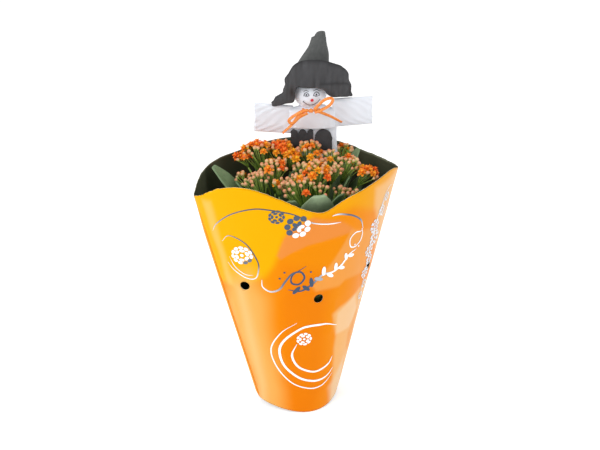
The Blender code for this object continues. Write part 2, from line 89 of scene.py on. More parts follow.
def simple_material(name, colour, roughness, metallic=0.0):
    material = bpy.data.materials.new(name)
    material.use_nodes = True
    shader = material.node_tree.nodes["Principled BSDF"]
    shader.inputs["Base Color"].default_value = (*colour, 1)
    shader.inputs["Roughness"].default_value = roughness
    shader.inputs["Metallic"].default_value = metallic
    return material, material.node_tree, shader


floor_mesh = bmesh.new()
bmesh.ops.create_grid(floor_mesh, x_segments=1, y_segments=1, size=6)
bmesh.ops.translate(floor_mesh, verts=floor_mesh.verts, vec=(0, 0, -0.0005))
floor_data = bpy.data.meshes.new("floor")
floor_mesh.to_mesh(floor_data)
floor_mesh.free()
pale_floor, tree, shader = simple_material("pale_floor", (0.90, 0.90, 0.90), 1.0)
shader.inputs["Emission Color"].default_value = (1, 1, 1, 1)
shader.inputs["Emission Strength"].default_value = 0.55
floor_data.materials.append(pale_floor)
floor = bpy.data.objects.new("floor", floor_data)
scene.collection.objects.link(floor)


# Bow: orange raffia ribbon tied round the ghost's neck. Each tail and loop is one flat strip with a slow
# twist, three millimetres wide. The routes are from the ghost's own line, a point on the stick.
GHOST = Vector((0.0130, 0.0460, 0))
RIBBON_WIDTH = 0.0030
RIBBON_THICKNESS = 0.0005


def smooth_path(knots, count):
    """Evenly numbered points on a smooth curve through the knots."""
    knots = [Vector(knot) for knot in knots]
    ends = [2 * knots[0] - knots[1]] + knots + [2 * knots[-1] - knots[-2]]
    path = []
    for number in range(count):
        along = number / (count - 1) * (len(knots) - 1)
        start = min(int(along), len(knots) - 2)
        t = along - start
        a, b, c, d = ends[start : start + 4]
        path.append(0.5 * (2 * b + (c - a) * t + (2 * a - 5 * b + 4 * c - d) * t * t
                           + (3 * b - a - 3 * c + d) * t ** 3))
    return path


def surface(columns, rows, point):
    """A grid bent to point(across, along), each from 0 to 1. Edges that meet are joined."""
    bm = bmesh.new()
    bmesh.ops.create_grid(bm, x_segments=columns, y_segments=rows, size=0.5)
    for vert in bm.verts:
        vert.co = point(vert.co.x + 0.5, vert.co.y + 0.5)
    bmesh.ops.remove_doubles(bm, verts=bm.verts, dist=1e-6)
    return bm


def piece(name, bm, materials, stands_for=(), closed=True, smooth=True):
    """Makes the finished object from bm, on the body root."""
    if closed:
        bmesh.ops.recalc_face_normals(bm, faces=bm.faces)
    mesh = bpy.data.meshes.new(name)
    bm.to_mesh(mesh)
    bm.free()
    for material in materials:
        mesh.materials.append(material)
    if smooth:
        mesh.shade_smooth()
    obj = bpy.data.objects.new(name, mesh)
    scene.collection.objects.link(obj)
    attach(obj, "root")
    if stands_for:
        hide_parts(*stands_for)
    return obj


def strip(path, width, thickness, twist, face):
    """A flat closed strip along path. Its broad side faces `face`, turned by twist from end to end."""
    rows = len(path) + 1
    corners = [(-0.5, -0.3), (0, -0.5), (0.5, -0.3), (0.5, 0.3), (0, 0.5), (-0.5, 0.3)]

    def point(across, along):
        row = round(along * rows)
        k = min(max(row - 1, 0), len(path) - 1)
        if row in (0, rows):
            return path[k]
        tangent = (path[min(k + 1, len(path) - 1)] - path[max(k - 1, 0)]).normalized()
        side = tangent.cross(face).normalized()
        side.rotate(Matrix.Rotation(twist * k / len(path), 3, tangent))
        up = side.cross(tangent)
        a, b = corners[round(across * 6) % 6]
        return path[k] + side * (a * width) + up * (b * thickness)

    return surface(6, rows, point)


def tinted(material_tree, shader, name="tint"):
    attribute = material_tree.nodes.new("ShaderNodeAttribute")
    attribute.attribute_name = name
    material_tree.links.new(attribute.outputs["Color"], shader.inputs["Base Color"])
    return attribute


raffia, raffia_tree, raffia_shader = simple_material("raffia", (0.95, 0.27, 0.025), 0.42)
wave = raffia_tree.nodes.new("ShaderNodeTexNoise")
wave.inputs["Scale"].default_value = 700
wave_place = raffia_tree.nodes.new("ShaderNodeTexCoord")
wave_ramp = raffia_tree.nodes.new("ShaderNodeValToRGB")
wave_ramp.color_ramp.elements[0].color = (0.90, 0.17, 0.012, 1)
wave_ramp.color_ramp.elements[1].color = (1.0, 0.42, 0.09, 1)
wave_ramp.color_ramp.elements[0].position = 0.3
wave_ramp.color_ramp.elements[1].position = 0.7
raffia_tree.links.new(wave_place.outputs["Object"], wave.inputs["Vector"])
raffia_tree.links.new(wave.outputs["Fac"], wave_ramp.inputs["Fac"])
raffia_tree.links.new(wave_ramp.outputs["Color"], raffia_shader.inputs["Base Color"])

BOW_LINE = GHOST + Vector((0, -0.0195, 0))
FRONT = Vector((0, -1, 0.25)).normalized()
BOW_ROUTES = {
    "bow_tail_left": ((-0.0025, -0.0001, 0.3122), (-0.0078, -0.0010, 0.3108), (-0.0136, 0.0000, 0.3048),
                      (-0.0194, 0.0000, 0.2966), (-0.0288, 0.0010, 0.2872)),
    "bow_tail_right": ((0.0030, -0.0001, 0.3124), (0.0115, -0.0010, 0.3096), (0.0212, 0.0000, 0.3050),
                       (0.0316, 0.0010, 0.2988)),
    "bow_loop_left": ((-0.0028, -0.0035, 0.3134), (-0.0095, -0.0042, 0.3121), (-0.0189, -0.0045, 0.3063),
                      (-0.0223, -0.0045, 0.3024), (-0.0185, -0.0045, 0.2995), (-0.0117, -0.0050, 0.3062),
                      (-0.0034, -0.0045, 0.3106)),
    "bow_loop_right": ((0.0032, -0.0035, 0.3140), (0.0124, -0.0042, 0.3236), (0.0191, -0.0045, 0.3264),
                       (0.0220, -0.0045, 0.3244), (0.0188, -0.0045, 0.3190), (0.0115, -0.0050, 0.3146),
                       (0.0038, -0.0045, 0.3112)),
}
for name, route in BOW_ROUTES.items():
    tail = "tail" in name
    path = smooth_path([BOW_LINE + Vector(knot) for knot in route], 24 if tail else 40)
    bm = strip(path, RIBBON_WIDTH, RIBBON_THICKNESS, math.radians(50 if tail else 25), FRONT)
    ribbon = piece(name, bm, [raffia], [name])

knot = bmesh.new()
bmesh.ops.create_uvsphere(knot, u_segments=20, v_segments=14, radius=1)
for vert in knot.verts:
    vert.co *= 1 + 0.10 * math.sin(9 * vert.co.z + 4 * vert.co.x)
knot_shape = Matrix.Translation(BOW_LINE + Vector((0, -0.0020, 0.3123)))
knot_shape = knot_shape @ Matrix.Diagonal((0.0027, 0.0024, 0.0022, 1))
bmesh.ops.transform(knot, matrix=knot_shape, verts=knot.verts)
piece("bow_knot", knot, [raffia], ["bow_knot"])

neck_knots = [(0.0022, -0.0195, 0.3118), (0.0066, -0.0130, 0.3106), (0.0080, -0.0050, 0.3096), (0.0070, 0.0040,
                                                                                                0.3094),
              (0.0000, 0.0082, 0.3094), (-0.0070, 0.0040, 0.3094), (-0.0080, -0.0050, 0.3096),
              (-0.0066, -0.0130, 0.3106), (-0.0022, -0.0195, 0.3118)]
neck_path = smooth_path([GHOST + Vector(knot) for knot in neck_knots], 40)
piece("bow_neck_band", strip(neck_path, 0.0026, RIBBON_THICKNESS, 0, Vector((0, 0.02, 1))), [raffia])


# Shared effects: mottled colour, the crossed threads of gauze and crepe, and matted felt.
# Each group gives a colour, a mask or a normal.
def new_group(name, inputs, outputs):
    tree = bpy.data.node_groups.new(name, "ShaderNodeTree")
    for socket, kind, value in inputs:
        tree.interface.new_socket(socket, in_out="INPUT", socket_type=kind).default_value = value
    for socket, kind in outputs:
        tree.interface.new_socket(socket, in_out="OUTPUT", socket_type=kind)
    return tree, tree.nodes.new("NodeGroupInput"), tree.nodes.new("NodeGroupOutput")


def math_node(tree, operation, first, second):
    made = tree.nodes.new("ShaderNodeMath")
    made.operation = operation
    for socket, value in zip(made.inputs, (first, second)):
        if isinstance(value, (int, float)):
            socket.default_value = value
        else:
            tree.links.new(value, socket)
    return made.outputs[0]


mottle, mottle_in, mottle_out = new_group(
    "mottle",
    [("Colour", "NodeSocketColor", (0.5, 0.5, 0.5, 1)), ("Amount", "NodeSocketFloat", 0.2),
     ("Scale", "NodeSocketFloat", 200)],
    [("Colour", "NodeSocketColor"), ("Mask", "NodeSocketFloat")],
)
place = mottle.nodes.new("ShaderNodeTexCoord")
cloud = mottle.nodes.new("ShaderNodeTexNoise")
cloud.inputs["Detail"].default_value = 4
mottle.links.new(place.outputs["Object"], cloud.inputs["Vector"])
mottle.links.new(mottle_in.outputs["Scale"], cloud.inputs["Scale"])
swing = math_node(mottle, "MULTIPLY", math_node(mottle, "SUBTRACT", cloud.outputs["Fac"], 0.5),
                  mottle_in.outputs["Amount"])
level = math_node(mottle, "ADD", math_node(mottle, "MULTIPLY", swing, 3.0), 1.0)
shade = mottle.nodes.new("ShaderNodeVectorMath")
shade.operation = "SCALE"
mottle.links.new(mottle_in.outputs["Colour"], shade.inputs[0])
mottle.links.new(level, shade.inputs["Scale"])
mottle.links.new(shade.outputs["Vector"], mottle_out.inputs["Colour"])
mottle.links.new(cloud.outputs["Fac"], mottle_out.inputs["Mask"])

weave, weave_in, weave_out = new_group(
    "weave",
    [("Pitch", "NodeSocketFloat", 900), ("Strength", "NodeSocketFloat", 0.4)],
    [("Normal", "NodeSocketVector"), ("Thread", "NodeSocketFloat")],
)
place = weave.nodes.new("ShaderNodeTexCoord")
threads = []
for direction in ("X", "Z"):
    band = weave.nodes.new("ShaderNodeTexWave")
    band.wave_type = "BANDS"
    band.bands_direction = direction
    band.inputs["Distortion"].default_value = 1.5
    weave.links.new(place.outputs["Object"], band.inputs["Vector"])
    weave.links.new(weave_in.outputs["Pitch"], band.inputs["Scale"])
    threads.append(band.outputs["Fac"])
thread = math_node(weave, "MAXIMUM", threads[0], threads[1])
bump = weave.nodes.new("ShaderNodeBump")
bump.inputs["Distance"].default_value = 0.0003
weave.links.new(weave_in.outputs["Strength"], bump.inputs["Strength"])
weave.links.new(thread, bump.inputs["Height"])
weave.links.new(bump.outputs["Normal"], weave_out.inputs["Normal"])
weave.links.new(thread, weave_out.inputs["Thread"])

fibre, fibre_in, fibre_out = new_group(
    "fibre",
    [("Scale", "NodeSocketFloat", 1500), ("Strength", "NodeSocketFloat", 0.5)],
    [("Normal", "NodeSocketVector"), ("Mask", "NodeSocketFloat")],
)
place = fibre.nodes.new("ShaderNodeTexCoord")
mat = fibre.nodes.new("ShaderNodeTexNoise")
mat.inputs["Detail"].default_value = 5
mat.inputs["Distortion"].default_value = 2.0
fibre.links.new(place.outputs["Object"], mat.inputs["Vector"])
fibre.links.new(fibre_in.outputs["Scale"], mat.inputs["Scale"])
bump = fibre.nodes.new("ShaderNodeBump")
bump.inputs["Distance"].default_value = 0.0005
fibre.links.new(fibre_in.outputs["Strength"], bump.inputs["Strength"])
fibre.links.new(mat.outputs["Fac"], bump.inputs["Height"])
fibre.links.new(bump.outputs["Normal"], fibre_out.inputs["Normal"])
fibre.links.new(mat.outputs["Fac"], fibre_out.inputs["Mask"])


def use_group(tree, group, **values):
    made = tree.nodes.new("ShaderNodeGroup")
    made.node_tree = group
    for socket, value in values.items():
        made.inputs[socket].default_value = value
    return made


def mottled(name, colour, roughness, amount, scale, metallic=0.0):
    material, tree, shader = simple_material(name, colour, roughness, metallic)
    made = use_group(tree, mottle, Colour=(*colour, 1), Amount=amount, Scale=scale)
    tree.links.new(made.outputs["Colour"], shader.inputs["Base Color"])
    return material, tree, shader, made


# Pot, potting mix, stems and stick keep the CAD meshes. The pot is brown nursery plastic,
# the mix dark peat with bright perlite specks, the stems green and the stick plain wood.
def dress(name, material):
    node = nodes[name]
    node.data.materials.clear()
    node.data.materials.append(material)


pot_plastic, tree, shader, _ = mottled("pot_plastic", (0.115, 0.045, 0.028), 0.45, 0.10, 60)
dress("grow_pot", pot_plastic)

soil, tree, shader, made = mottled("peat", (0.045, 0.028, 0.018), 0.95, 0.5, 420)
lumps = use_group(tree, fibre, Scale=350, Strength=1.0)
tree.links.new(lumps.outputs["Normal"], shader.inputs["Normal"])
dress("potting_soil", soil)

stem_green, tree, shader, _ = mottled("stem_green", (0.115, 0.215, 0.045), 0.5, 0.25, 180)
for number in range(1, 5):
    dress(f"shoot_stem_{number}", stem_green)

stick_wood, tree, shader, _ = mottled("stick_wood", (0.60, 0.44, 0.27), 0.7, 0.15, 500)
dress("pick_stick", stick_wood)

random.seed(5)
_, soil_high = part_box("potting_soil")
crumbs = bmesh.new()
crumb_tint = crumbs.verts.layers.float_color.new("tint")
for number in range(260):
    turn, out = random.uniform(0, math.tau), 0.038 * math.sqrt(random.random())
    spot = Vector((out * math.cos(turn), out * math.sin(turn), soil_high.z - 0.0028 * (out / 0.036) ** 1.5))
    made = bmesh.ops.create_icosphere(crumbs, subdivisions=1, radius=random.uniform(0.0007, 0.0020))["verts"]
    squash = Matrix.Diagonal((1, random.uniform(0.6, 1), random.uniform(0.5, 0.8), 1))
    bmesh.ops.transform(crumbs, matrix=Matrix.Translation(spot) @ squash, verts=made)
    white = random.random() < 0.10
    for vert in made:
        vert[crumb_tint] = (0.72, 0.70, 0.64, 1) if white else (0.05, 0.032, 0.02, 1)
crumb_material, tree, shader = simple_material("peat_crumbs", (0.05, 0.03, 0.02), 0.95)
tinted(tree, shader)
piece("soil_crumbs", crumbs, [crumb_material], smooth=False)


# Leaves: each one is rebuilt on the line of its CAD blade. A thick oval blade with a rounded, scalloped
# margin, a shallow cup, a sunken midrib and a grey bloom that is strongest on some leaves.
leaf_green, tree, shader = simple_material("leaf_green", (0.1, 0.2, 0.08), 0.42)
shader.inputs["Specular IOR Level"].default_value = 0.35
attribute = tree.nodes.new("ShaderNodeAttribute")
attribute.attribute_name = "tint"
made = use_group(tree, mottle, Amount=0.13, Scale=240)
tree.links.new(attribute.outputs["Color"], made.inputs["Colour"])
tree.links.new(made.outputs["Colour"], shader.inputs["Base Color"])
grain = use_group(tree, fibre, Scale=900, Strength=0.12)
tree.links.new(grain.outputs["Normal"], shader.inputs["Normal"])

LEAF_DARK = Vector((0.060, 0.125, 0.040))
LEAF_MID = Vector((0.120, 0.215, 0.075))
LEAF_PALE = Vector((0.380, 0.490, 0.300))
LEAF_THICKNESS = 0.0016
LEAF_BLOOM = {4: 0.2, 9: 0.2, 21: 0.45, 22: 0.4, 23: 0.45, 24: 0.55, 25: 0.45, 26: 1.0, 27: 0.35, 14: 0.4,
              19: 0.5, 20: 0.45}
INFILL_LEAVES = (
    # root, tip, width, grey bloom: small leaves among the stalks, with no CAD node of their own
    ((-0.012, -0.026, 0.190), (-0.0060, -0.0500, 0.2440), 0.026, 0.55),
    ((-0.028, -0.016, 0.188), (-0.0380, -0.0380, 0.2420), 0.026, 0.30),
    ((-0.030, 0.000, 0.186), (-0.0620, -0.0100, 0.2480), 0.028, 0.25),
    ((0.004, -0.010, 0.190), (0.0040, -0.0120, 0.2480), 0.024, 0.10),
    ((0.024, -0.014, 0.188), (0.0440, -0.0320, 0.2440), 0.026, 0.20),
    ((0.030, 0.004, 0.190), (0.0520, 0.0000, 0.2500), 0.024, 0.20),
    ((0.020, 0.006, 0.192), (0.0300, 0.0060, 0.2560), 0.022, 0.15),
    ((-0.014, 0.012, 0.192), (-0.0330, 0.0100, 0.2520), 0.024, 0.10),
    ((0.006, 0.024, 0.192), (0.0040, 0.0360, 0.2600), 0.026, 0.15),
    ((-0.022, 0.026, 0.188), (-0.0420, 0.0400, 0.2520), 0.028, 0.20),
    ((0.028, 0.024, 0.188), (0.0540, 0.0400, 0.2500), 0.026, 0.25),
    ((-0.006, -0.022, 0.186), (-0.0220, -0.0420, 0.2360), 0.024, 0.25),
    ((0.012, -0.024, 0.186), (0.0380, -0.0460, 0.2360), 0.024, 0.20),
    ((0.030, -0.010, 0.184), (0.0700, -0.0080, 0.2360), 0.024, 0.20),
    ((-0.030, 0.010, 0.184), (-0.0720, 0.0140, 0.2360), 0.026, 0.25),
    ((0.034, 0.010, 0.186), (0.0700, 0.0200, 0.2460), 0.026, 0.30),
)


def smooth_step(value, low, high):
    t = min(1.0, max(0.0, (value - low) / (high - low)))
    return t * t * (3 - 2 * t)


def make_leaf(name, root, tip, width, bloom, seed, stands_for):
    reach = tip - root
    level = Vector((reach.x, reach.y, 0)).normalized()
    side = level.cross(Vector((0, 0, 1)))
    lean = math.atan2(reach.z, math.hypot(reach.x, reach.y)) + 0.10
    length = reach.length
    rng = random.Random(seed)
    wave, curl = rng.uniform(0, 6), rng.uniform(0.6, 1.3)
    bm = bmesh.new()
    tint = bm.verts.layers.float_color.new("tint")
    bmesh.ops.create_grid(bm, x_segments=34, y_segments=14, size=0.5)
    for vert in bm.verts:
        t, s = vert.co.x + 0.5, vert.co.y * 2
        blade = max(0.0, (t - 0.22) / 0.78)
        spread = math.sin(math.pi * min(1.0, blade ** 0.80 * 0.955 + 0.02)) ** 0.58 if blade > 0 else 0.0
        notch = 0.045 * abs(s) ** 3 * (abs(math.sin(blade * math.pi * 5.5)) - 0.5)
        scallop = 1 + notch * smooth_step(blade, 0.15, 0.4)
        half = max(0.0017, width / 2 * spread * scallop)
        rise = lean - 0.10 * t
        up = Vector((0, 0, math.cos(rise))) - level * math.sin(rise)
        centre = root + length * t * (level * math.cos(rise) + Vector((0, 0, math.sin(rise))))
        lift = 0.09 * width * s * s * spread * curl
        lift += 0.0009 * math.sin(7 * t + wave) * s * abs(s) * spread
        lift -= 0.0007 * math.exp(-abs(s) * 9) * spread
        vert.co = centre + side * (half * s) + up * lift
        vein = math.exp(-abs(s) * 14) + 0.45 * max(0.0, math.cos((t * 3.4 - abs(s) * 0.8) * math.tau)) ** 12
        edge = smooth_step(abs(s), 0.90, 1.0)
        tone = LEAF_DARK.lerp(LEAF_MID, 0.25 + 0.5 * bloom + 0.25 * vein * spread + 0.2 * edge)
        tone = tone.lerp(LEAF_PALE, 0.95 * bloom * (0.8 + 0.2 * noise.noise(vert.co * 160)))
        tone = tone.lerp(Vector((0.16, 0.25, 0.06)), 0.6 * (1 - smooth_step(t, 0.15, 0.35)))
        vert[tint] = (*tone, 1)
    leaf = piece(name, bm, [leaf_green], stands_for, closed=False)
    thick = leaf.modifiers.new("thickness", "SOLIDIFY")
    thick.thickness = LEAF_THICKNESS
    thick.offset = 0


def middle_near(points, spot, reach):
    near = [p for p in points if (p - spot).length < reach]
    return sum(near, Vector()) / len(near)


for number in range(1, 28):
    name = f"leaf_{number:02d}"
    points = [vert.co.copy() for vert in nodes[name].data.vertices]
    root = middle_near(points, min(points, key=lambda p: p.z), 0.004)
    tip = middle_near(points, max(points, key=lambda p: (p - root).length), 0.004)
    side = (tip - root).cross(Vector((0, 0, 1))).normalized()
    width = (2.5 if number == 26 else 2.1) * max(abs((p - root).dot(side)) for p in points)
    make_leaf(name, root, tip, width, LEAF_BLOOM.get(number, 0.05), number, [name])
for number, (root, tip, width, bloom) in enumerate(INFILL_LEAVES):
    make_leaf(f"small_leaf_{number + 1:02d}", Vector(root), Vector(tip), width, bloom, 100 + number, ())


# Flower heads: each CAD dome becomes a spray of thin stalks. Most end in a plump peach bud on a yellow-green
# cup; on some heads the florets have opened into small crowded orange rosettes.
BUD_TIP = Vector((0.86, 0.30, 0.16))
BUD_SIDE = Vector((0.88, 0.56, 0.27))
BUD_FOOT = Vector((0.70, 0.68, 0.22))
CUP = Vector((0.34, 0.47, 0.08))
STALK = Vector((0.13, 0.27, 0.035))
PETAL = Vector((0.98, 0.20, 0.010))
PETAL_LIGHT = Vector((1.0, 0.42, 0.015))
FLORET_SPACING = 0.0050
HEADS = {
    # share of open florets, where they crowd (X, Y), spread of the head over its CAD dome
    "flower_head_01": (0.55, (1.0, 0.2), 1.45),
    "flower_head_02": (0.05, (0.5, 0.6), 1.25),
    "flower_head_03": (0.12, (-0.6, 0.6), 1.20),
    "flower_head_04": (0.22, (0.2, 0.7), 1.10),
    "flower_head_05": (0.25, (-0.2, 0.9), 1.30),
    "flower_head_06": (0.40, (-0.3, 0.8), 1.20),
    "flower_head_07": (0.62, (-0.7, 0.4), 1.20),
    "flower_head_08": (0.28, (-0.95, 0.0), 1.25),
    "flower_head_09": (0.00, (0.0, 0.0), 1.30),
    "flower_head_10": (0.14, (0.0, 0.95), 1.20),
    "flower_head_11": (0.12, (0.4, -0.4), 1.20),
    "flower_head_12": (0.34, (-0.2, 0.7), 1.30),
}
EXTRA_HEADS = (
    # foot, top, radius of the head, share of open florets, where they crowd
    ((-0.016, 0.020, 0.190), (-0.0600, 0.0170, 0.2710), 0.0085, 0.80, (-0.5, 0.0)),
    ((-0.016, 0.018, 0.190), (-0.0050, 0.0120, 0.2745), 0.0100, 0.75, (0.0, 0.4)),
    ((0.012, -0.018, 0.190), (0.0020, 0.0040, 0.2650), 0.0110, 0.05, (0.0, 0.0)),
    ((0.012, -0.020, 0.190), (0.0250, -0.0270, 0.2530), 0.0090, 0.00, (0.0, 0.0)),
    ((-0.020, -0.014, 0.190), (-0.0600, 0.0040, 0.2540), 0.0080, 0.10, (0.0, 0.0)),
    ((0.014, -0.020, 0.190), (0.0640, -0.0150, 0.2390), 0.0095, 0.60, (0.3, 0.0)),
    ((0.018, 0.014, 0.190), (0.0400, 0.0020, 0.2620), 0.0100, 0.10, (0.0, 0.6)),
    ((-0.020, -0.016, 0.190), (-0.0180, -0.0200, 0.2570), 0.0090, 0.15, (0.0, 0.5)),
    ((-0.018, 0.022, 0.190), (-0.0340, 0.0440, 0.2700), 0.0100, 0.40, (0.0, 0.5)),
    ((0.018, 0.018, 0.190), (0.0220, 0.0120, 0.2680), 0.0090, 0.35, (0.0, 0.5)),
)


def bud_template():
    """A bud one unit long and pointing up Z, with its cup."""
    bm = bmesh.new()
    tint = bm.verts.layers.float_color.new("tint")
    profile = [(0, 0), (0.16, 0.02), (0.24, 0.14), (0.21, 0.30), (0.30, 0.44), (0.385, 0.62), (0.35, 0.82),
               (0.19, 0.96), (0, 1.0)]
    points = [bm.verts.new((radius, 0, height)) for radius, height in profile]
    edges = [bm.edges.new(pair) for pair in zip(points, points[1:])]
    bmesh.ops.spin(bm, geom=points + edges, axis=(0, 0, 1), cent=(0, 0, 0), angle=math.tau, steps=7,
                   use_merge=True)
    bmesh.ops.remove_doubles(bm, verts=bm.verts, dist=1e-5)
    for vert in bm.verts:
        tone = CUP.lerp(BUD_FOOT, smooth_step(vert.co.z, 0.22, 0.45))
        tone = tone.lerp(BUD_SIDE, smooth_step(vert.co.z, 0.38, 0.66))
        tone = tone.lerp(BUD_TIP, smooth_step(vert.co.z, 0.72, 1.0))
        vert[tint] = (*tone, 1)
    bmesh.ops.recalc_face_normals(bm, faces=bm.faces)
    mesh = bpy.data.meshes.new("bud_template")
    bm.to_mesh(mesh)
    bm.free()
    return mesh


def blossom_template(rng):
    """An open floret one unit across: three whorls of curved petals round a closed middle."""
    bm = bmesh.new()
    tint = bm.verts.layers.float_color.new("tint")
    whorls = ((6, 0.50, 0.10, 0.34), (5, 0.40, 0.30, 0.30), (4, 0.24, 0.44, 0.24))
    for whorl, (count, reach, rise, width) in enumerate(whorls):
        for number in range(count):
            turn = (number + 0.5 * whorl) / count * math.tau + rng.uniform(-0.15, 0.15)
            size = rng.uniform(0.88, 1.12)
            made = bmesh.ops.create_grid(bm, x_segments=3, y_segments=2, size=0.5)["verts"]
            for vert in made:
                t, s = vert.co.x + 0.5, vert.co.y * 2
                out = reach * size * (0.12 + 0.88 * t)
                half = width / 2 * math.sin(math.pi * (0.12 + 0.70 * t)) * s
                lift = rise * t ** 0.7 - 0.16 * t * t * reach * 2 + 0.07 * s * s
                vert.co = Matrix.Rotation(turn, 3, "Z") @ Vector((out, half, 0.12 + lift))
                tone = PETAL.lerp(PETAL_LIGHT, 0.15 + 0.75 * t * rng.uniform(0.4, 1))
                vert[tint] = (*tone, 1)
    made = bmesh.ops.create_icosphere(bm, subdivisions=1, radius=0.16)["verts"]
    for vert in made:
        vert.co.z = vert.co.z * 1.2 + 0.36
        vert[tint] = (*PETAL_LIGHT, 1)
    made = bmesh.ops.create_cone(bm, cap_ends=True, segments=6, radius1=0.07, radius2=0.20, depth=0.36)["verts"]
    for vert in made:
        vert[tint] = (*CUP, 1)
    mesh = bpy.data.meshes.new("blossom_template")
    bm.to_mesh(mesh)
    bm.free()
    return mesh


def stamp(bm, template, matrix, tint, gain):
    """Adds a copy of the template to bm, its colours scaled by gain."""
    start = len(bm.verts)
    bm.from_mesh(template)
    bm.verts.ensure_lookup_table()
    added = bm.verts[start:]
    bmesh.ops.transform(bm, matrix=matrix, verts=added)
    for vert in added:
        vert[tint] = [min(1.0, vert[tint][k] * gain[k]) for k in range(3)] + [1]


def stalk(bm, tint, path, radius):
    """A thin three-sided stalk along the path."""
    rings = []
    for k, point in enumerate(path):
        tangent = (path[min(k + 1, len(path) - 1)] - path[max(k - 1, 0)]).normalized()
        side = tangent.orthogonal().normalized()
        thick = radius * (1.25 - 0.45 * k / (len(path) - 1))
        ring = []
        for corner in range(4):
            vert = bm.verts.new(point + Matrix.Rotation(corner * math.tau / 4, 3, tangent) @ side * thick)
            vert[tint] = (*STALK.lerp(CUP, k / (len(path) - 1)), 1)
            ring.append(vert)
        rings.append([bm.edges.new((ring[c], ring[(c + 1) % 4])) for c in range(4)])
    for ring, following in zip(rings, rings[1:]):
        bmesh.ops.bridge_loops(bm, edges=ring + following)
    bmesh.ops.contextual_create(bm, geom=rings[0])
    bmesh.ops.contextual_create(bm, geom=rings[-1])


bud_material, tree, shader = simple_material("buds", BUD_SIDE, 0.38)
tinted(tree, shader)
shader.inputs["Subsurface Weight"].default_value = 0.15
shader.inputs["Subsurface Radius"].default_value = (0.002, 0.001, 0.0005)
petal_material, tree, shader = simple_material("petals", PETAL, 0.5)
tinted(tree, shader)
stalk_material, tree, shader = simple_material("stalks", STALK, 0.5)
tinted(tree, shader)

bud_mesh = bud_template()
blossom_meshes = [blossom_template(random.Random(seed)) for seed in range(4)]
def make_head(name, foot, top, reach, open_share, crowd, stands_for):
    """One spray: a thick stalk from foot, thin ones spreading from its neck, and a dome of florets."""
    rng = random.Random(name)
    axis = (top - foot).normalized()
    height = reach
    neck = top - axis * min(height * 2.3, (top - foot).length * 0.72)
    turn_up = axis.to_track_quat("Z", "Y").to_matrix()
    count = int(2.6 * (reach / FLORET_SPACING) ** 2)
    stalks, buds, blossoms = bmesh.new(), bmesh.new(), bmesh.new()
    layers = [bm.verts.layers.float_color.new("tint") for bm in (stalks, buds, blossoms)]
    stalk_path = smooth_path([foot, foot.lerp(neck, 0.5) + Vector((0.0006, 0.0004, 0)), neck], 6)
    stalk(stalks, layers[0], stalk_path, 0.0012)
    for k in range(count):
        out = math.sqrt((k + 0.5) / count)
        turn = k * 2.39996 + rng.uniform(-0.15, 0.15)
        across = Vector((math.cos(turn), math.sin(turn), 0)) * out
        drop = 1 - math.sqrt(max(0.0, 1 - (0.95 * out) ** 2))
        local = across * reach + Vector((0, 0, -drop * height * 1.05 + rng.uniform(-0.0018, 0.0014)))
        end = top + turn_up @ local
        leaning = (turn_up @ (across * 0.75 + Vector((0, 0, 1)))).normalized()
        leaning = (leaning + Vector((rng.uniform(-0.2, 0.2), rng.uniform(-0.2, 0.2), 0.15))).normalized()
        towards = across.x * crowd[0] + across.y * crowd[1]
        is_open = rng.random() < open_share * (1 + 1.3 * towards)
        size = rng.uniform(0.0042, 0.0060)
        base = end - leaning * size
        bend = neck.lerp(base, 0.45) + Vector((across.x, across.y, 0)) * 0.0015
        stalk(stalks, layers[0], smooth_path([neck, bend, base + leaning * 0.0005], 4), 0.00052)
        twist = Matrix.Rotation(rng.uniform(0, 6.3), 4, "Z")
        face = leaning.to_track_quat("Z", "Y").to_matrix().to_4x4() @ twist
        warm = rng.uniform(-1, 1)
        if is_open:
            wide = rng.uniform(0.0080, 0.0115)
            grow = Matrix.Translation(base - leaning * 0.0002) @ face @ Matrix.Scale(wide, 4)
            stamp(blossoms, rng.choice(blossom_meshes), grow, layers[2], (1.0, 1.0 + 0.45 * warm, 1.0))
        else:
            grow = Matrix.Translation(base) @ face @ Matrix.Diagonal((size * 0.98, size * 0.98, size * 1.1, 1))
            gain = (1.0 - 0.08 * max(0, -warm), 1.0 + 0.22 * warm, 1.0 + 0.25 * warm)
            stamp(buds, bud_mesh, grow, layers[1], gain)
    piece(name, stalks, [stalk_material], stands_for)
    if len(buds.verts):
        piece(name + "_buds", buds, [bud_material], closed=False)
    if len(blossoms.verts):
        piece(name + "_blossoms", blossoms, [petal_material], closed=False)


for name, (open_share, crowd, spread) in HEADS.items():
    points = [vert.co.copy() for vert in nodes[name].data.vertices]
    foot = min(points, key=lambda p: p.z)
    top = max(points, key=lambda p: (p - foot).length)
    axis = (top - foot).normalized()
    radius = max((p - foot - axis * (p - foot).dot(axis)).length for p in points)
    make_head(name, foot, top, radius * spread, open_share, crowd, [name])
for number, (foot, top, radius, open_share, crowd) in enumerate(EXTRA_HEADS):
    make_head(f"side_spray_{number + 1}", Vector(foot), Vector(top), radius, open_share, crowd, ())


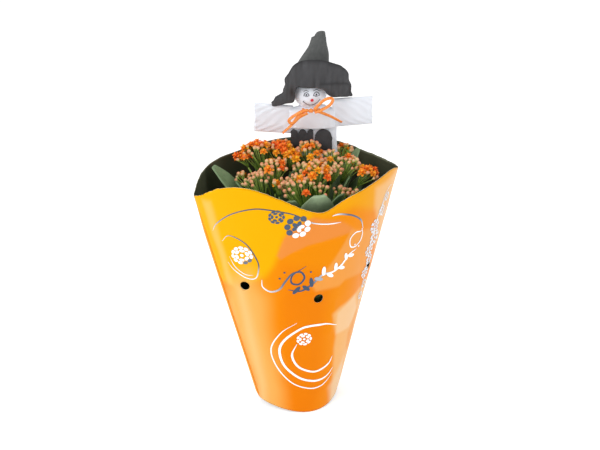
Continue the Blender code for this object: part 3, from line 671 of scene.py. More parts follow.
# Sleeve: two panels of thin printed film welded at the sides. Points on a panel are given flat, x across from
# the panel's middle and z up, and film() wraps them. Creases raise or sink the film along straight lines.
SEAM_TURN = math.radians(21.8)
TIP_Z = 0.2466
SEAM_AXIS = Vector((math.cos(SEAM_TURN), math.sin(SEAM_TURN), 0))
FRONT_AXIS = Vector((math.sin(SEAM_TURN), -math.cos(SEAM_TURN), 0))
FILM_THICKNESS = 0.0003
FRONT_RIM = (0.000, 0.016, 0.018, 0.009, -0.003, -0.010, -0.001, 0.004, 0.008, 0.010, 0.000)
BACK_RIM = (0.000, 0.013, 0.0165, 0.0165, 0.018, 0.0205, 0.0215, 0.0205, 0.016, 0.008, 0.000)
VENT_R = 0.00485
VENTS = ((0, 0.139), (-0.070, 0.152), (0.070, 0.152))
CREASES = (
    # from (x, z) to (x, z), height of the ridge, reach of its slopes
    (-0.027, 0.216, -0.044, 0.186, 0.0016, 0.016),
    (-0.044, 0.186, -0.046, 0.160, 0.0009, 0.014),
    (-0.042, 0.189, 0.034, 0.209, -0.0015, 0.016),
    (0.034, 0.211, -0.006, 0.140, 0.0016, 0.015),
    (-0.020, 0.226, 0.020, 0.222, 0.0008, 0.010),
    (0.019, 0.132, 0.016, 0.097, 0.0014, 0.010),
    (0.034, 0.112, 0.019, 0.132, -0.0010, 0.009),
    (0.058, 0.070, 0.046, 0.020, 0.0008, 0.010),
    (-0.095, 0.228, -0.070, 0.170, -0.0008, 0.016),
    (0.050, 0.180, 0.060, 0.120, -0.0010, 0.012),
)


def film_width(z):
    return 0.1232 + (0.2716 - 0.1232) * z / TIP_Z


def film_turn(x, z):
    """The angle round the sleeve of a point x from the panel's middle: a quarter turn is the seam."""
    want = x * math.pi / film_width(z)
    bow = 0.045 + 0.08 * z / TIP_Z
    turn = want
    for _ in range(4):
        turn -= (turn + bow * math.sin(2 * turn) - want) / (1 + 2 * bow * math.cos(2 * turn))
    return turn


def crease_push(x, z):
    push = 0.0
    for x0, z0, x1, z1, height, slope in CREASES:
        dx, dz = x1 - x0, z1 - z0
        t = min(1.0, max(0.0, ((x - x0) * dx + (z - z0) * dz) / (dx * dx + dz * dz)))
        away = math.hypot(x - x0 - t * dx, z - z0 - t * dz)
        push += height * math.exp(-math.sqrt(away * away + 1e-6) / slope)
    return push


def film(x, z, panel=0, proud=0.0):
    """A point on the film of the front panel (0) or the back one (1), proud of it outwards."""
    turn = film_turn(x, z) + math.pi * panel
    high = z / TIP_Z
    half, depth, roundness = 0.0421 + 0.0686 * high, 0.0385 + 0.0283 * high, 0.60 - 0.25 * high
    across, towards = math.sin(turn), math.cos(turn)
    u = half * across
    v = depth * (roundness * towards + (1 - roundness) * towards * abs(towards))
    du = half * towards
    dv = -depth * across * (roundness + 2 * (1 - roundness) * abs(towards))
    size = math.hypot(du, dv)
    edge = abs(2 * x) / film_width(z)
    calm = smooth_step(1 - edge, 0.0, 0.12)
    push = proud + calm * (crease_push(x, z) if panel == 0 else 0.0008 * math.sin(40 * x + 25 * z))
    push += calm * 0.00035 * noise.noise(Vector((x * 22, z * 14, 3.0 * panel)))
    u -= push * dv / size
    v += push * du / size
    return SEAM_AXIS * u + FRONT_AXIS * v + Vector((0, 0, z))


def rim_height(turn):
    heights = FRONT_RIM if math.cos(turn) >= 0 else BACK_RIM
    stations = smooth_path([(0, 0, height) for height in heights], 121)
    return TIP_Z + stations[round((math.sin(turn) + 1) / 2 * 120)].z


rims = {}
for panel in (0, 1):
    for step in range(-60, 61):
        rims[panel, step] = rim_height(math.radians(step * 1.4999) + math.pi * panel)


def rim_at(panel, turn):
    step = max(-60, min(60, math.degrees(turn) / 1.5))
    low = min(59, math.floor(step))
    return rims[panel, low] + (rims[panel, low + 1] - rims[panel, low]) * (step - low)


ORANGE = Vector((0.770, 0.240, 0.001))
PAINTED_LIGHT_FACETS = (
    # painted highlights and painted shade where the foil's facets would catch or lose the light:
    # outline in millimetres (x, z), tint, share of the tint, softness of the edge
    (((-160, 290), (-8, 262), (-10, 233), (-29, 223), (-35, 212), (-40, 191), (-44, 179), (-51, 166), (-72, 152),
      (-100, 150), (-160, 200)), (0.78, 0.385, 0.0), 1.0, 5),
    (((-60, 262), (0, 250), (40, 262), (120, 290), (120, 215), (60, 222), (34, 234), (0, 232)),
     (0.78, 0.350, 0.001), 0.8, 7),
    (((-35, 179), (14, 168), (10, 113), (13, 26), (0, -10), (-24, -10), (-34, 79), (-39, 136)),
     (0.73, 0.190, 0.001), 0.85, 12),
    (((-35, 212), (-29, 223), (-10, 233), (18, 225), (40, 206), (30, 206), (-13, 202), (-29, 194), (-38, 187),
      (-41, 192)),
     (0.73, 0.245, 0.048), 0.90, 1.4),
    (((34, 209), (52, 202), (72, 196), (84, 180), (66, 168), (60, 150), (30, 152), (23, 147), (-4, 147),
      (-8, 154), (0, 162), (14, 180)), (0.77, 0.315, 0.062), 0.90, 2.2),
    (((64, 246), (80, 246), (112, 250), (112, 150), (100, 110), (84, 120), (84, 160), (78, 196), (66, 222)),
     (0.78, 0.45, 0.18), 0.85, 5),
    (((-90, 160), (-66, 172), (-50, 140), (-42, 77), (-30, 29), (-29, -10), (-62, -10), (-66, 22), (-80, 70),
      (-96, 117)),
     (0.77, 0.42, 0.11), 0.80, 12),
    (((-78, 150), (-70, 150), (-58, 90), (-48, 29), (-47, -10), (-55, -10), (-57, 22), (-70, 80)),
     (0.78, 0.50, 0.20), 0.7, 7),
    (((-116, 245), (-106, 245), (-94, 190), (-82, 150), (-90, 150), (-106, 205)), (0.78, 0.50, 0.14), 0.6, 3.5),
    (((17, 116), (25, 120), (60, 130), (88, 140), (88, 90), (66, 59), (56, 45), (46, -10), (24, -10), (26, 30),
      (22, 71), (24, 89)), (0.78, 0.44, 0.16), 0.85, 3),
    (((24, 115), (50, 126), (58, 106), (52, 96), (44, 88), (24, 90)), (0.79, 0.54, 0.31), 0.7, 2),
    (((44, 80), (60, 104), (66, 96), (56, 70), (50, 56), (44, 62)), (0.76, 0.28, 0.02), 0.8, 3),
    (((20, 24), (42, 50), (46, 20), (34, -10), (26, -10)), (0.74, 0.58, 0.38), 0.6, 5),
)


def inside_share(outline, x, z, soft):
    """1 well inside the outline, 0 well outside, smooth across its edge."""
    near, inside = 1e9, False
    for (x0, z0), (x1, z1) in zip(outline, outline[1:] + outline[:1]):
        dx, dz = x1 - x0, z1 - z0
        t = min(1.0, max(0.0, ((x - x0) * dx + (z - z0) * dz) / (dx * dx + dz * dz)))
        near = min(near, math.hypot(x - x0 - t * dx, z - z0 - t * dz))
        if (z0 > z) != (z1 > z) and x < x0 + (z - z0) / dz * dx:
            inside = not inside
    return smooth_step(near if inside else -near, -soft, soft)


def film_colour_and_painted_light(x, z, panel):
    """The film's colour: the print's orange, with painted highlights in yellow, peach and cream and painted
    shade in deeper orange where the foil's facets turn. The back panel gets the same patches mirrored and weaker.
    """
    tone = ORANGE
    sway = 2.0 * noise.noise(Vector((x * 30, z * 30, 0.5)))
    for outline, tint, share, soft in PAINTED_LIGHT_FACETS:
        mirrored, strength, spread = (-1, 0.45, 4) if panel else (1, 1, 1)
        inside = inside_share(outline, mirrored * x * 1000 + sway, z * 1000 + sway, soft * spread)
        tone = tone.lerp(Vector(tint), strength * share * inside)
    return tone


FILM_COLUMNS, FILM_ROWS = 132, 116
bm = bmesh.new()
tint = bm.verts.layers.float_color.new("tint")
for panel in (0, 1):
    made = bmesh.ops.create_grid(bm, x_segments=FILM_COLUMNS, y_segments=FILM_ROWS, size=0.5)["verts"]
    flat = {}
    for vert in made:
        share, up = vert.co.x * 2, vert.co.y + 0.5
        z = 0.2
        for _ in range(4):
            turn = film_turn(share * film_width(z) / 2, z)
            low = 0.0067 * math.sin(turn) ** 2
            z = low + (rim_at(panel, turn) - low) * up
        flat[vert] = Vector((share * film_width(z) / 2, z))
    gone = []
    for vent_x, vent_z in VENTS:
        vent = Vector((vent_x, vent_z))
        holes = [face for face in {f for v in made for f in v.link_faces}
                 if (sum((flat[v] for v in face.verts), Vector((0, 0))) / len(face.verts) - vent).length < VENT_R]
        inside = set(holes)
        for vert in {v for face in holes for v in face.verts}:
            if any(face not in inside for face in vert.link_faces):
                flat[vert] = vent + (flat[vert] - vent).normalized() * VENT_R
        gone += holes
    bmesh.ops.delete(bm, geom=gone, context="FACES")
    for vert in made:
        if vert.is_valid:
            x, z = flat[vert]
            vert.co = film(x, z, panel)
            # the film colour carries painted highlights and painted shade on the foil's facets
            vert[tint] = (*film_colour_and_painted_light(x, z, panel), 1)
bmesh.ops.remove_doubles(bm, verts=bm.verts, dist=2e-5)
loose = [vert for vert in bm.verts if not vert.link_faces]
bmesh.ops.delete(bm, geom=loose, context="VERTS")
bmesh.ops.recalc_face_normals(bm, faces=bm.faces)
outward = sum(face.normal.dot(face.calc_center_median() * Vector((1, 1, 0))) for face in bm.faces)
if outward < 0:
    bmesh.ops.reverse_faces(bm, faces=bm.faces)

film_outside, tree, shader = simple_material("film_outside", ORANGE, 0.34, 0.35)
tinted(tree, shader)
shader.inputs["Specular IOR Level"].default_value = 0.04
shader.inputs["Coat Weight"].default_value = 0.025
shader.inputs["Coat Roughness"].default_value = 0.12
film_inside, tree, shader, _ = mottled("film_inside", (0.105, 0.110, 0.066), 0.35, 0.10, 40, 0.35)
shader.inputs["Specular IOR Level"].default_value = 0.25
film_edge, tree, shader = simple_material("film_edge", (0.85, 0.80, 0.62), 0.4)
sleeve = piece("sleeve_film", bm, [film_outside, film_inside, film_edge], ["sleeve_film"],
               closed=False)
thick = sleeve.modifiers.new("thickness", "SOLIDIFY")
thick.thickness = FILM_THICKNESS
thick.offset = -1
thick.material_offset = 1
thick.material_offset_rim = 2

for side, name in ((-1, "weld_seam_left"), (1, "weld_seam_right")):
    def fin(across, along, side=side):
        z = 0.0067 + (TIP_Z - 0.0067) * along
        edge = film(side * film_width(z) / 2, z)
        wide = 0.0021 * smooth_step(along, -0.02, 0.04) * (1 - 0.8 * smooth_step(along, 0.80, 1.0))
        return edge + SEAM_AXIS * side * (wide * across - 0.0003) + FRONT_AXIS * 0.0004 * math.sin(9 * along)

    seam_material = bpy.data.materials.get("weld_seam")
    if seam_material is None:
        seam_material = simple_material("weld_seam", (0.96, 0.42, 0.05), 0.25, 0.2)[0]
    seam = piece(name, surface(2, 60, fin), [seam_material], closed=False)
    thick = seam.modifiers.new("thickness", "SOLIDIFY")
    thick.thickness = 0.0005
    thick.offset = 0


# Print: silver foil scrolls, blossoms and a leafy flourish, laid a hair proud of the film.
# Foil that faces the dark side of the room reads blue-grey, so each mark carries a painted reflection, from dark
# blue-grey to white.
FOIL_DARK_REFLECTION = Vector((0.045, 0.075, 0.130))
FOIL_BRIGHT_REFLECTION = Vector((0.90, 0.92, 0.95))
print_bm = bmesh.new()
foil_reflection_tone = print_bm.verts.layers.float_color.new("tint")


def stroke(knots, width, reflection_tones, panel=0):
    """A printed line through flat (x, z) knots in millimetres, thin at its ends, with a painted reflection toned
    along it.
    """
    flat_knots = [Vector((x, 0, z)) / 1000 for x, z in knots]
    rough = sum((b - a).length for a, b in zip(flat_knots, flat_knots[1:]))
    path = smooth_path(flat_knots, max(8, round(rough / 0.0018)))
    made = bmesh.ops.create_grid(print_bm, x_segments=len(path) - 1, y_segments=1, size=0.5)["verts"]
    for vert in made:
        along = vert.co.x + 0.5
        k = round(along * (len(path) - 1))
        tangent = (path[min(k + 1, len(path) - 1)] - path[max(k - 1, 0)]).normalized()
        left = Vector((-tangent.z, 0, tangent.x))
        slim = min(1.0, 0.25 + 4 * along, 0.25 + 4 * (1 - along))
        spot = path[k] + left * (vert.co.y * width / 1000 * slim)
        position = along * (len(reflection_tones) - 1)
        low = min(int(position), len(reflection_tones) - 2)
        tone = reflection_tones[low] + (reflection_tones[low + 1] - reflection_tones[low]) * (position - low)
        vert.co = film(spot.x, spot.z, panel, 0.00020)
        vert[foil_reflection_tone] = (*FOIL_DARK_REFLECTION.lerp(FOIL_BRIGHT_REFLECTION, tone), 1)


def petal(x, z, long, wide, turn, tone, panel=0):
    """A printed oval, its length along turn, with a painted reflection of the given tone. Sizes in millimetres.
    """
    made = bmesh.ops.create_circle(print_bm, segments=12, radius=0.5, cap_ends=True, cap_tris=True)["verts"]
    c, s = math.cos(turn), math.sin(turn)
    for vert in made:
        a, b = vert.co.x * long, vert.co.y * wide
        vert.co = film((x + a * c - b * s) / 1000, (z + a * s + b * c) / 1000, panel, 0.00026)
        vert[foil_reflection_tone] = (*FOIL_DARK_REFLECTION.lerp(FOIL_BRIGHT_REFLECTION, tone), 1)


def rosette(x, z, radius, rings, tone, panel=0, start=0.0):
    """A blossom of ovals in rings: rings gives how many ovals each holds, from the middle out. tone is its
    painted reflection, or a function of the side an oval lies on.
    """
    for ring, count in enumerate(rings):
        out = radius * (ring + 0.55) / len(rings) if count > 1 else 0
        deep = radius / len(rings) * (1.0 if len(rings) > 2 else 0.94)
        for number in range(count):
            turn = start + (number + 0.5 * (ring % 2)) / count * math.tau
            wide = min(deep * 1.6, math.tau * out / count * 0.93) if count > 1 else deep
            side = math.cos(turn + 0.75)
            level = tone if not callable(tone) else tone(side * out / radius)
            petal(x + out * math.cos(turn), z + out * math.sin(turn), deep, wide, turn, level, panel)


# Each mark's tones are a painted reflection, dark blue-grey to white, varied along lines and across blossoms.
stroke([(-105, 211), (-100, 220), (-85, 234), (-68, 242), (-54, 243), (-30, 238), (-16, 230)], 1.2,
       (0.9, 0.15, 0, 0, 0))
stroke([(-17, 230), (-8, 226), (6, 223), (20, 222)], 1.2, (0.1, 1, 1))
rosette(-44, 235, 7.5, (1, 5, 9), 0.02)
rosette(-24, 224, 12.5, (5, 9), lambda across: 1.0 if across > 0.16 else 0.02)
stroke([(10, 231), (16, 231.5), (23, 230), (35, 225), (46, 216), (50, 205)], 1.7, (1, 0.6, 0.05, 0.1, 0.9))
stroke([(50, 206), (47, 203), (40, 204), (33, 199), (34, 190), (41, 187.5), (48, 192), (50, 200), (48, 206)],
       1.3, (1, 1))
stroke([(-94, 201), (-86, 209), (-70, 202), (-59, 184), (-57.5, 173), (-60, 163), (-69, 162), (-81, 169),
        (-88, 177)],
       1.1, (1, 0.2, 0, 0, 0.7, 1, 1, 1))
stroke([(-62, 166), (-70, 166), (-80, 173), (-86, 184)], 0.7, (1, 1))
rosette(-73.5, 188, 10.5, (1, 6, 11), lambda across: 0.1 if across > 0.72 else 1.0)
rosette(-12, 92, 7.5, (1, 5, 9), 1.0)
stroke([(-19, 86), (-23, 73), (-18, 60), (-8.5, 53), (3, 50), (16, 55), (21, 63)], 2.1, (1, 1))
stroke([(23, 101), (12, 106), (3.5, 107), (-8, 107), (-17, 104), (-30, 92), (-35, 78), (-30, 59.5), (-16, 45),
        (-2, 39), (9, 38.5), (17.5, 42), (23, 48)], 2.3, (1, 1))
stroke([(-20, 112), (-34, 100), (-43, 79), (-37, 57), (-22, 38), (-4, 30), (8, 30), (15.5, 34), (23, 41)], 1.3,
       (1, 1))

# The flourish: a wandering stem with leaves and dots, in silver across the middle of the panel.
stroke([(-54, 162), (-53, 154), (-46, 149), (-38, 152), (-33, 161), (-27, 170), (-19, 172), (-15, 165),
        (-20, 158), (-27, 160), (-26, 169), (-14, 178)], 1.9, (1, 0.9, 0.5, 0.1, 0.05, 0, 0, 0, 0, 0))
stroke([(-30, 152), (-18, 150), (-7, 157), (3, 166), (14, 167), (24, 172), (33, 181), (43, 184)], 2.1,
       (0, 0, 0.05, 0.5, 1, 1, 1, 1))
for x, z, turn, long in ((-22, 151, 0.9, 7.0), (-13, 153, -0.7, 6.0), (-8, 159, 1.7, 7.5), (-1, 162, -0.3, 6.0),
                         (4, 170, 1.5, 7.0), (11, 164, -0.6, 6.0), (17, 172, 1.6, 6.5), (24, 169, -0.4, 6.0),
                         (29, 180, 1.8, 6.0), (36, 179, -0.2, 5.5)):
    petal(x, z, long * 1.5, 4.1, turn, smooth_step(x, -6, 6))
for x, z in ((-38, 165), (-34, 172), (-9, 171), (40, 190), (46, 186)):
    petal(x, z, 2.0, 2.0, 0, smooth_step(x, -6, 6))

# A trailing branch of blossoms runs down the right of the panel.
stroke([(94, 231), (84, 222), (75, 208), (69, 190), (66, 165), (64, 140), (62, 104)], 1.2, (0.9, 0.9))
for x, z, r in ((71, 199, 8), (74, 184, 9), (66, 172, 7), (69, 160, 6), (64, 146, 6.5), (67, 131, 5),
                (63, 118, 4.5), (82, 213, 6), (90, 226, 5)):
    rosette(x, z, r, (1, 5, 8) if r > 5.5 else (1, 6), 0.8, start=r)
stroke([(100, 236), (92, 236), (84, 228), (80, 214), (86, 205), (93, 210), (92, 219)], 1.0, (0.9, 0.9))
for x, z, r in ((-60, 200, 11), (-20, 212, 9), (40, 190, 12), (0, 120, 9), (-30, 90, 7)):
    rosette(x, z, r, (1, 5, 9), 0.9, panel=1, start=r)
stroke([(-80, 150), (-50, 175), (0, 170), (50, 150), (60, 110), (20, 80), (-20, 60)], 1.6, (1, 1), panel=1)

foil, tree, shader = simple_material("silver_foil", FOIL_BRIGHT_REFLECTION, 0.30, 0.55)
tinted(tree, shader)
piece("printed_scrolls", print_bm, [foil], closed=False)


# Ghost: a gauze ball head, a flat gauze robe under a short cape with two straight sleeves, and drawn features.
# The gauze is thin, white and a little see-through at its frayed ends.
gauze, tree, shader = simple_material("gauze", (0.89, 0.925, 1.0), 0.9)
shader.inputs["Specular IOR Level"].default_value = 0.1
cloth = use_group(tree, weave, Pitch=1100, Strength=0.35)
tree.links.new(cloth.outputs["Normal"], shader.inputs["Normal"])
shader.inputs["Subsurface Weight"].default_value = 0.1
shader.inputs["Subsurface Radius"].default_value = (0.002, 0.002, 0.002)

HEAD_CENTRE = GHOST + Vector((-0.0010, 0, 0.3250))
HEAD_RADII = Vector((0.0165, 0.01485, 0.0165))
head = bmesh.new()
bmesh.ops.create_uvsphere(head, u_segments=56, v_segments=36, radius=1)
for vert in head.verts:
    low = smooth_step(-vert.co.z, 0.35, 1.0)
    gather = 1 + low * 0.05 * math.sin(11 * math.atan2(vert.co.y, vert.co.x)) + 0.012 * noise.noise(vert.co * 3)
    boxy = 1 + 0.05 * (abs(vert.co.x) ** 3)
    vert.co = HEAD_CENTRE + Vector((vert.co.x * HEAD_RADII.x * gather * boxy, vert.co.y * HEAD_RADII.y * gather,
                                    vert.co.z * HEAD_RADII.z))
ghost_head = piece("ghost_head", head, [gauze], ["doll_head"])


def face_point(x, z, proud):
    """A point on the front of the head, x and z from the ghost's line."""
    dx, dz = (x + 0.0010) / HEAD_RADII.x, (z - 0.3250) / HEAD_RADII.z
    front = math.sqrt(max(0.02, 1 - dx * dx - dz * dz))
    return GHOST + Vector((x, -HEAD_RADII.y * front - proud, z))


def face_mark(bm, knots, width):
    path = smooth_path([(x, 0, z) for x, z in knots], 16)
    made = bmesh.ops.create_grid(bm, x_segments=15, y_segments=1, size=0.5)["verts"]
    for vert in made:
        k = round((vert.co.x + 0.5) * 15)
        tangent = (path[min(k + 1, 15)] - path[max(k - 1, 0)]).normalized()
        spot = path[k] + Vector((-tangent.z, 0, tangent.x)) * (vert.co.y * width)
        vert.co = face_point(spot.x, spot.z, 0.00035)


marks = bmesh.new()
for knots, width in (
    (((-0.0076, 0.3190), (-0.0041, 0.3162), (0.0004, 0.3150), (0.0056, 0.3172), (0.0094, 0.3214)), 0.00065),
    (((-0.0082, 0.3184), (-0.0070, 0.3198)), 0.0007),
    (((-0.0072, 0.3252), (-0.0064, 0.3278), (-0.0044, 0.3290), (-0.0026, 0.3278), (-0.0018, 0.3256)), 0.00065),
    (((-0.0066, 0.3258), (-0.0044, 0.3250), (-0.0022, 0.3260)), 0.0005),
    (((-0.0046, 0.3258), (-0.0043, 0.3276)), 0.0014),
    (((-0.0074, 0.3300), (-0.0048, 0.3312), (-0.0024, 0.3302)), 0.0005),
    (((0.0026, 0.3256), (0.0034, 0.3282), (0.0056, 0.3294), (0.0078, 0.3280), (0.0088, 0.3254)), 0.00065),
    (((0.0030, 0.3260), (0.0056, 0.3250), (0.0084, 0.3258)), 0.0005),
    (((0.0054, 0.3258), (0.0057, 0.3278)), 0.0015),
    (((0.0026, 0.3306), (0.0056, 0.3318), (0.0086, 0.3304)), 0.0005),
):
    face_mark(marks, knots, width)
piece("face_marks", marks, [simple_material("ink", (0.03, 0.03, 0.05), 0.6)[0]], closed=False)
nose = bmesh.new()
made = bmesh.ops.create_circle(nose, segments=20, radius=0.00165, cap_ends=True, cap_tris=True)["verts"]
for vert in made:
    vert.co = face_point(0.0012 + vert.co.x, 0.3210 + vert.co.y, 0.00045)
piece("painted_nose", nose, [simple_material("red_paint", (0.72, 0.03, 0.06), 0.5)[0]], closed=False)


def cloth_bag(name, columns, rows, centre, half_width, half_depth, low, high, ripple, stands_for=()):
    """A flat upright bag of gauze from low to high. The sizes are functions of the height from 0 to 1."""
    def point(across, along):
        turn = across * math.tau
        c, s = math.cos(turn), math.sin(turn)
        x = half_width(along) * math.copysign(abs(c) ** 0.75, c)
        y = half_depth(along) * math.copysign(abs(s) ** 0.85, s)
        wave = math.sin(2.3 * x * 400 + 2 * along)
        fold = ripple * (wave + 0.6 * noise.noise(Vector((x * 160, along * 3, s))))
        return GHOST + centre + Vector((x, y + fold * abs(s), low + (high - low) * along))

    obj = piece(name, surface(columns, rows, point), [gauze], stands_for)
    thick = obj.modifiers.new("thickness", "SOLIDIFY")
    thick.thickness = 0.0004
    thick.offset = 0
    return obj


robe = cloth_bag(
    "ghost_robe", 72, 30, Vector((0.0035, 0, 0)),
    lambda t: 0.0245 - 0.0015 * math.sin(math.pi * t) - 0.004 * smooth_step(t, 0.85, 1.0),
    lambda t: 0.0042 - 0.0022 * smooth_step(t, 0.80, 1.0), 0.2560, 0.3060, 0.00030, ["doll_robe"],
)

cape = cloth_bag(
    "ghost_cape", 72, 24, Vector((0.0015, -0.0018, 0)),
    lambda t: 0.0232 - 0.0100 * smooth_step(t, 0.75, 1.0),
    lambda t: (0.0072 + 0.0020 * math.sin(math.pi * t)) * (1 - 0.80 * smooth_step(t, 0.82, 1.0)),
    0.2885, 0.3120, 0.00035,
)


def sleeve_arm(name, start, end, stands_for):
    """A straight flat sleeve from the body outwards: start and end are (x, low, high)."""
    def point(across, along):
        turn = across * math.tau
        c, s = math.cos(turn), math.sin(turn)
        x = start[0] + (end[0] - start[0]) * along
        low, high = start[1] + (end[1] - start[1]) * along, start[2] + (end[2] - start[2]) * along
        fold = 0.00045 * math.sin(900 * (low + (high - low) * (c + 1) / 2) + 20 * along)
        fold += 0.0006 * noise.noise(Vector((x * 90, c * 2, s)))
        frayed = 0.0012 * smooth_step(along, 0.93, 1.0) * noise.noise(Vector((c * 9, s * 3, 1)))
        z = (low + high) / 2 + (high - low) / 2 * math.copysign(abs(c) ** 0.7, c)
        y = (0.0030 - 0.0008 * along) * math.copysign(abs(s) ** 0.8, s) + fold * abs(s)
        return GHOST + Vector((x + math.copysign(frayed, end[0]), y - 0.0005, z))

    obj = piece(name, surface(56, 30, point), [gauze], [stands_for])
    thick = obj.modifiers.new("thickness", "SOLIDIFY")
    thick.thickness = 0.0004
    thick.offset = 0
    return obj


sleeve_arm("ghost_arm_left", (-0.0180, 0.2810, 0.3105), (-0.0575, 0.2832, 0.3140), "doll_arm_left")
sleeve_arm("ghost_arm_right", (0.0220, 0.2880, 0.3180), (0.0625, 0.2915, 0.3208), "doll_arm_right")

random.seed(11)
fray = bmesh.new()
fray_tint = fray.verts.layers.float_color.new("tint")
for side, x, low, high in ((-1, -0.0575, 0.2835, 0.3138), (1, 0.0625, 0.2918, 0.3205)):
    for number in range(16):
        start = GHOST + Vector((x - side * 0.001, random.uniform(-0.002, 0.001), random.uniform(low, high)))
        long = random.uniform(0.002, 0.006) if number else 0.012
        away = Vector((side * long, random.uniform(-0.001, 0.001), random.uniform(-0.002, 0.001)))
        thread_path = smooth_path([start, start + away * 0.5 + Vector((0, 0, 0.0006)), start + away], 4)
        stalk(fray, fray_tint, thread_path, 0.00012)
piece("frayed_threads", fray, [gauze])


# Felt patches: two plain pieces of dark felt on the robe, one with a scalloped top, one rounded.
felt, tree, shader, made = mottled("felt", (0.058, 0.058, 0.062), 0.95, 0.22, 260)
cloth = use_group(tree, fibre, Scale=1500, Strength=0.5)
tree.links.new(cloth.outputs["Normal"], shader.inputs["Normal"])


def patch(name, left, right, low, crown):
    """A flat patch from left to right. crown(across) is the height of its top edge, across from 0 to 1."""
    def point(across, along):
        x = left + (right - left) * across
        z = low + (crown(across) - low) * along
        wobble = 0.0004 * noise.noise(Vector((x * 300, z * 300, 0)))
        return GHOST + Vector((x + wobble, -0.0052 - 0.0002 * math.sin(z * 400), z + wobble))

    obj = piece(name, surface(40, 20, point), [felt], [name], closed=False)
    thick = obj.modifiers.new("thickness", "SOLIDIFY")
    thick.thickness = 0.0010
    thick.offset = 0
    return obj


def scallops(across):
    return 0.2812 + 0.0056 * abs(math.sin(math.pi * (2.6 * across + 0.15))) ** 0.6


def round_top(across):
    return 0.2770 + 0.0100 * math.sqrt(max(0.0, 1 - (2 * across - 1) ** 2))


left_patch = patch("felt_patch_left", -0.0205, 0.0026, 0.2655, scallops)
right_patch = patch("felt_patch_right", 0.0040, 0.0220, 0.2642, round_top)


# Hat: a soft crepe cone that leans right and has a fold near its tip, and a wide felt brim. The brim's front
# is turned up against the cone, its right hangs in a flap below a crease, and its left droops to a point.
crepe, tree, shader, made = mottled("crepe", (0.098, 0.102, 0.100), 0.9, 0.20, 300)
cloth = use_group(tree, weave, Pitch=700, Strength=0.55)
tree.links.new(cloth.outputs["Normal"], shader.inputs["Normal"])
CONE_RINGS = (
    # height, centre in x, half width, half depth
    (0.3345, -0.0010, 0.0180, 0.0175), (0.3440, 0.0005, 0.0178, 0.0165), (0.3530, 0.0022, 0.0166, 0.0145),
    (0.3600, 0.0040, 0.0146, 0.0120), (0.3657, 0.0052, 0.0124, 0.0098), (0.3737, 0.0070, 0.0094, 0.0070),
    (0.3807, 0.0077, 0.0078, 0.0052), (0.3826, 0.0079, 0.0073, 0.0046), (0.3834, 0.0090, 0.0060, 0.0040),
    (0.3856, 0.0094, 0.0052, 0.0034), (0.3876, 0.0099, 0.0043, 0.0028), (0.3888, 0.0108, 0.0028, 0.0020),
    (0.3893, 0.0112, 0.0000, 0.0000),
)
cone_path = smooth_path([(centre, 0, height) for height, centre, _, _ in CONE_RINGS], 61)
cone_size = smooth_path([(half, deep, 0) for _, _, half, deep in CONE_RINGS], 61)


def cone_point(across, along):
    k = round(along * 60)
    turn = across * math.tau
    c, s = math.cos(turn), math.sin(turn)
    crumple = 1 + 0.035 * noise.noise(Vector((c * 2, s * 2, along * 7))) + 0.018 * math.sin(26 * along + 5 * c)
    crumple += 0.022 * noise.noise(Vector((c * 11, s * 11, along * 2)))
    centre = cone_path[k]
    half, deep = max(0.0, cone_size[k].x), max(0.0, cone_size[k].y)
    return GHOST + Vector((centre.x + half * c * crumple, deep * s * crumple, centre.z))


cone = piece("hat_cone", surface(64, 60, cone_point), [crepe], ["hat_cone"])

BRIM_SPOKES = (
    # fold, crease and edge, each X, Y and Z from the ghost's line, clockwise from the front seen from above
    ((0.0018, -0.0200, 0.3364), (0.0018, -0.0216, 0.3402), (0.0060, -0.0235, 0.3664)),
    ((-0.0146, -0.0190, 0.3365), (-0.0155, -0.0200, 0.3402), (-0.0140, -0.0215, 0.3625)),
    ((-0.0170, -0.0112, 0.3195), (-0.0225, -0.0145, 0.3310), (-0.0250, -0.0155, 0.3455)),
    ((-0.0240, -0.0075, 0.3162), (-0.0275, -0.0095, 0.3230), (-0.0281, -0.0085, 0.3285)),
    ((-0.0370, -0.0010, 0.3128), (-0.0390, -0.0020, 0.3134), (-0.0397, -0.0010, 0.3142)),
    ((-0.0240, 0.0110, 0.3220), (-0.0270, 0.0150, 0.3200), (-0.0285, 0.0165, 0.3190)),
    ((0.0000, 0.0225, 0.3300), (0.0000, 0.0245, 0.3270), (0.0000, 0.0258, 0.3240)),
    ((0.0250, 0.0120, 0.3275), (0.0300, 0.0150, 0.3255), (0.0330, 0.0160, 0.3245)),
    ((0.0330, -0.0010, 0.3225), (0.0390, -0.0015, 0.3215), (0.0409, -0.0020, 0.3219)),
    ((0.0270, -0.0120, 0.3240), (0.0370, -0.0130, 0.3375), (0.0402, -0.0110, 0.3370)),
    ((0.0200, -0.0150, 0.3258), (0.0280, -0.0190, 0.3405), (0.0343, -0.0170, 0.3549)),
    ((0.0150, -0.0180, 0.3335), (0.0160, -0.0210, 0.3404), (0.0226, -0.0220, 0.3622)),
)
BRIM_COLUMNS, BRIM_ROWS = 96, 30
count = len(BRIM_SPOKES)
brim_rings = []
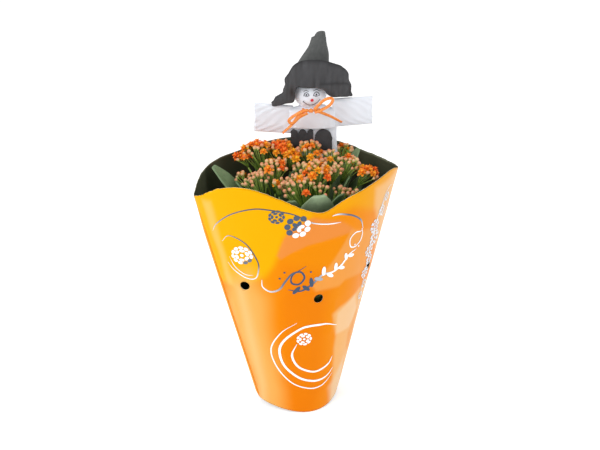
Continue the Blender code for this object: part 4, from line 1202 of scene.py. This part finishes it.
for level in range(4):
    ring = []
    for k in range(-1, count + 2):
        turn = math.radians((0, 38, 68, 84, 100, 135, 180, 225, 262, 292, 318, 340)[k % count])
        inner = Vector((-0.0190 * math.sin(turn) - 0.001, -0.0188 * math.cos(turn), 0.3372))
        ring.append(inner if level == 0 else Vector(BRIM_SPOKES[k % count][level - 1]))
    whole = smooth_path(ring, (count + 2) * 8 + 1)
    brim_rings.append(whole[8 : 8 + count * 8 + 1])


def brim_point(across, along):
    k = round(across * BRIM_COLUMNS) % BRIM_COLUMNS
    profile = smooth_path([ring[k] for ring in brim_rings], BRIM_ROWS + 1)
    spot = profile[round(along * BRIM_ROWS)]
    ruffle = 0.0006 * noise.noise(spot * 130) + 0.0004 * math.sin(k * 0.9) * along
    ruffle += 0.0007 * noise.noise(Vector((spot.x * 420, 0, spot.z * 60))) * smooth_step(along, 0.1, 0.5)
    outward = Vector((spot.x, spot.y, 0)).normalized()
    return GHOST + spot + outward * ruffle * 1.5


brim_felt, tree, shader = simple_material("brim_felt", (0.058, 0.058, 0.062), 0.95)
tinted(tree, shader)
cloth = use_group(tree, fibre, Scale=1500, Strength=0.5)
tree.links.new(cloth.outputs["Normal"], shader.inputs["Normal"])
# The brim's colour carries painted shade along its crease and a painted shadow in its fold pocket.
bm = bmesh.new()
shade = bm.verts.layers.float_color.new("tint")
bmesh.ops.create_grid(bm, x_segments=BRIM_COLUMNS, y_segments=BRIM_ROWS, size=0.5)
for vert in bm.verts:
    across, along = vert.co.x + 0.5, vert.co.y + 0.5
    vert.co = brim_point(across, along)
    spot = vert.co - GHOST
    grain = noise.noise(Vector((spot.x * 520, spot.y * 160, spot.z * 40)))
    tone = Vector((0.060, 0.060, 0.064)) * (1 + 0.30 * grain)
    # darker towards the outer edge
    tone *= 1 - 0.50 * smooth_step(along, 0.94, 1.0)
    # painted shade along the crease of the right-hand flap
    right = smooth_step(across, 0.66, 0.72) * smooth_step(-across, -0.98, -0.94)
    tone *= 1 - 0.45 * right * math.exp(-((along - 0.667) / 0.035) ** 2)
    # painted shadow, dark brown, in the fold pocket at the front left
    pocket_shadow = math.exp(-((spot.x + 0.0190) / 0.0026) ** 2 - ((spot.z - 0.3300) / 0.0065) ** 2)
    tone = tone.lerp(Vector((0.018, 0.010, 0.007)), 0.85 * pocket_shadow if spot.y < 0 else 0)
    vert[shade] = (*tone, 1)
bmesh.ops.remove_doubles(bm, verts=bm.verts, dist=1e-6)
brim = piece("hat_brim", bm, [brim_felt], ["hat_brim"], closed=False)
thick = brim.modifiers.new("thickness", "SOLIDIFY")
thick.thickness = 0.0010
thick.offset = 0
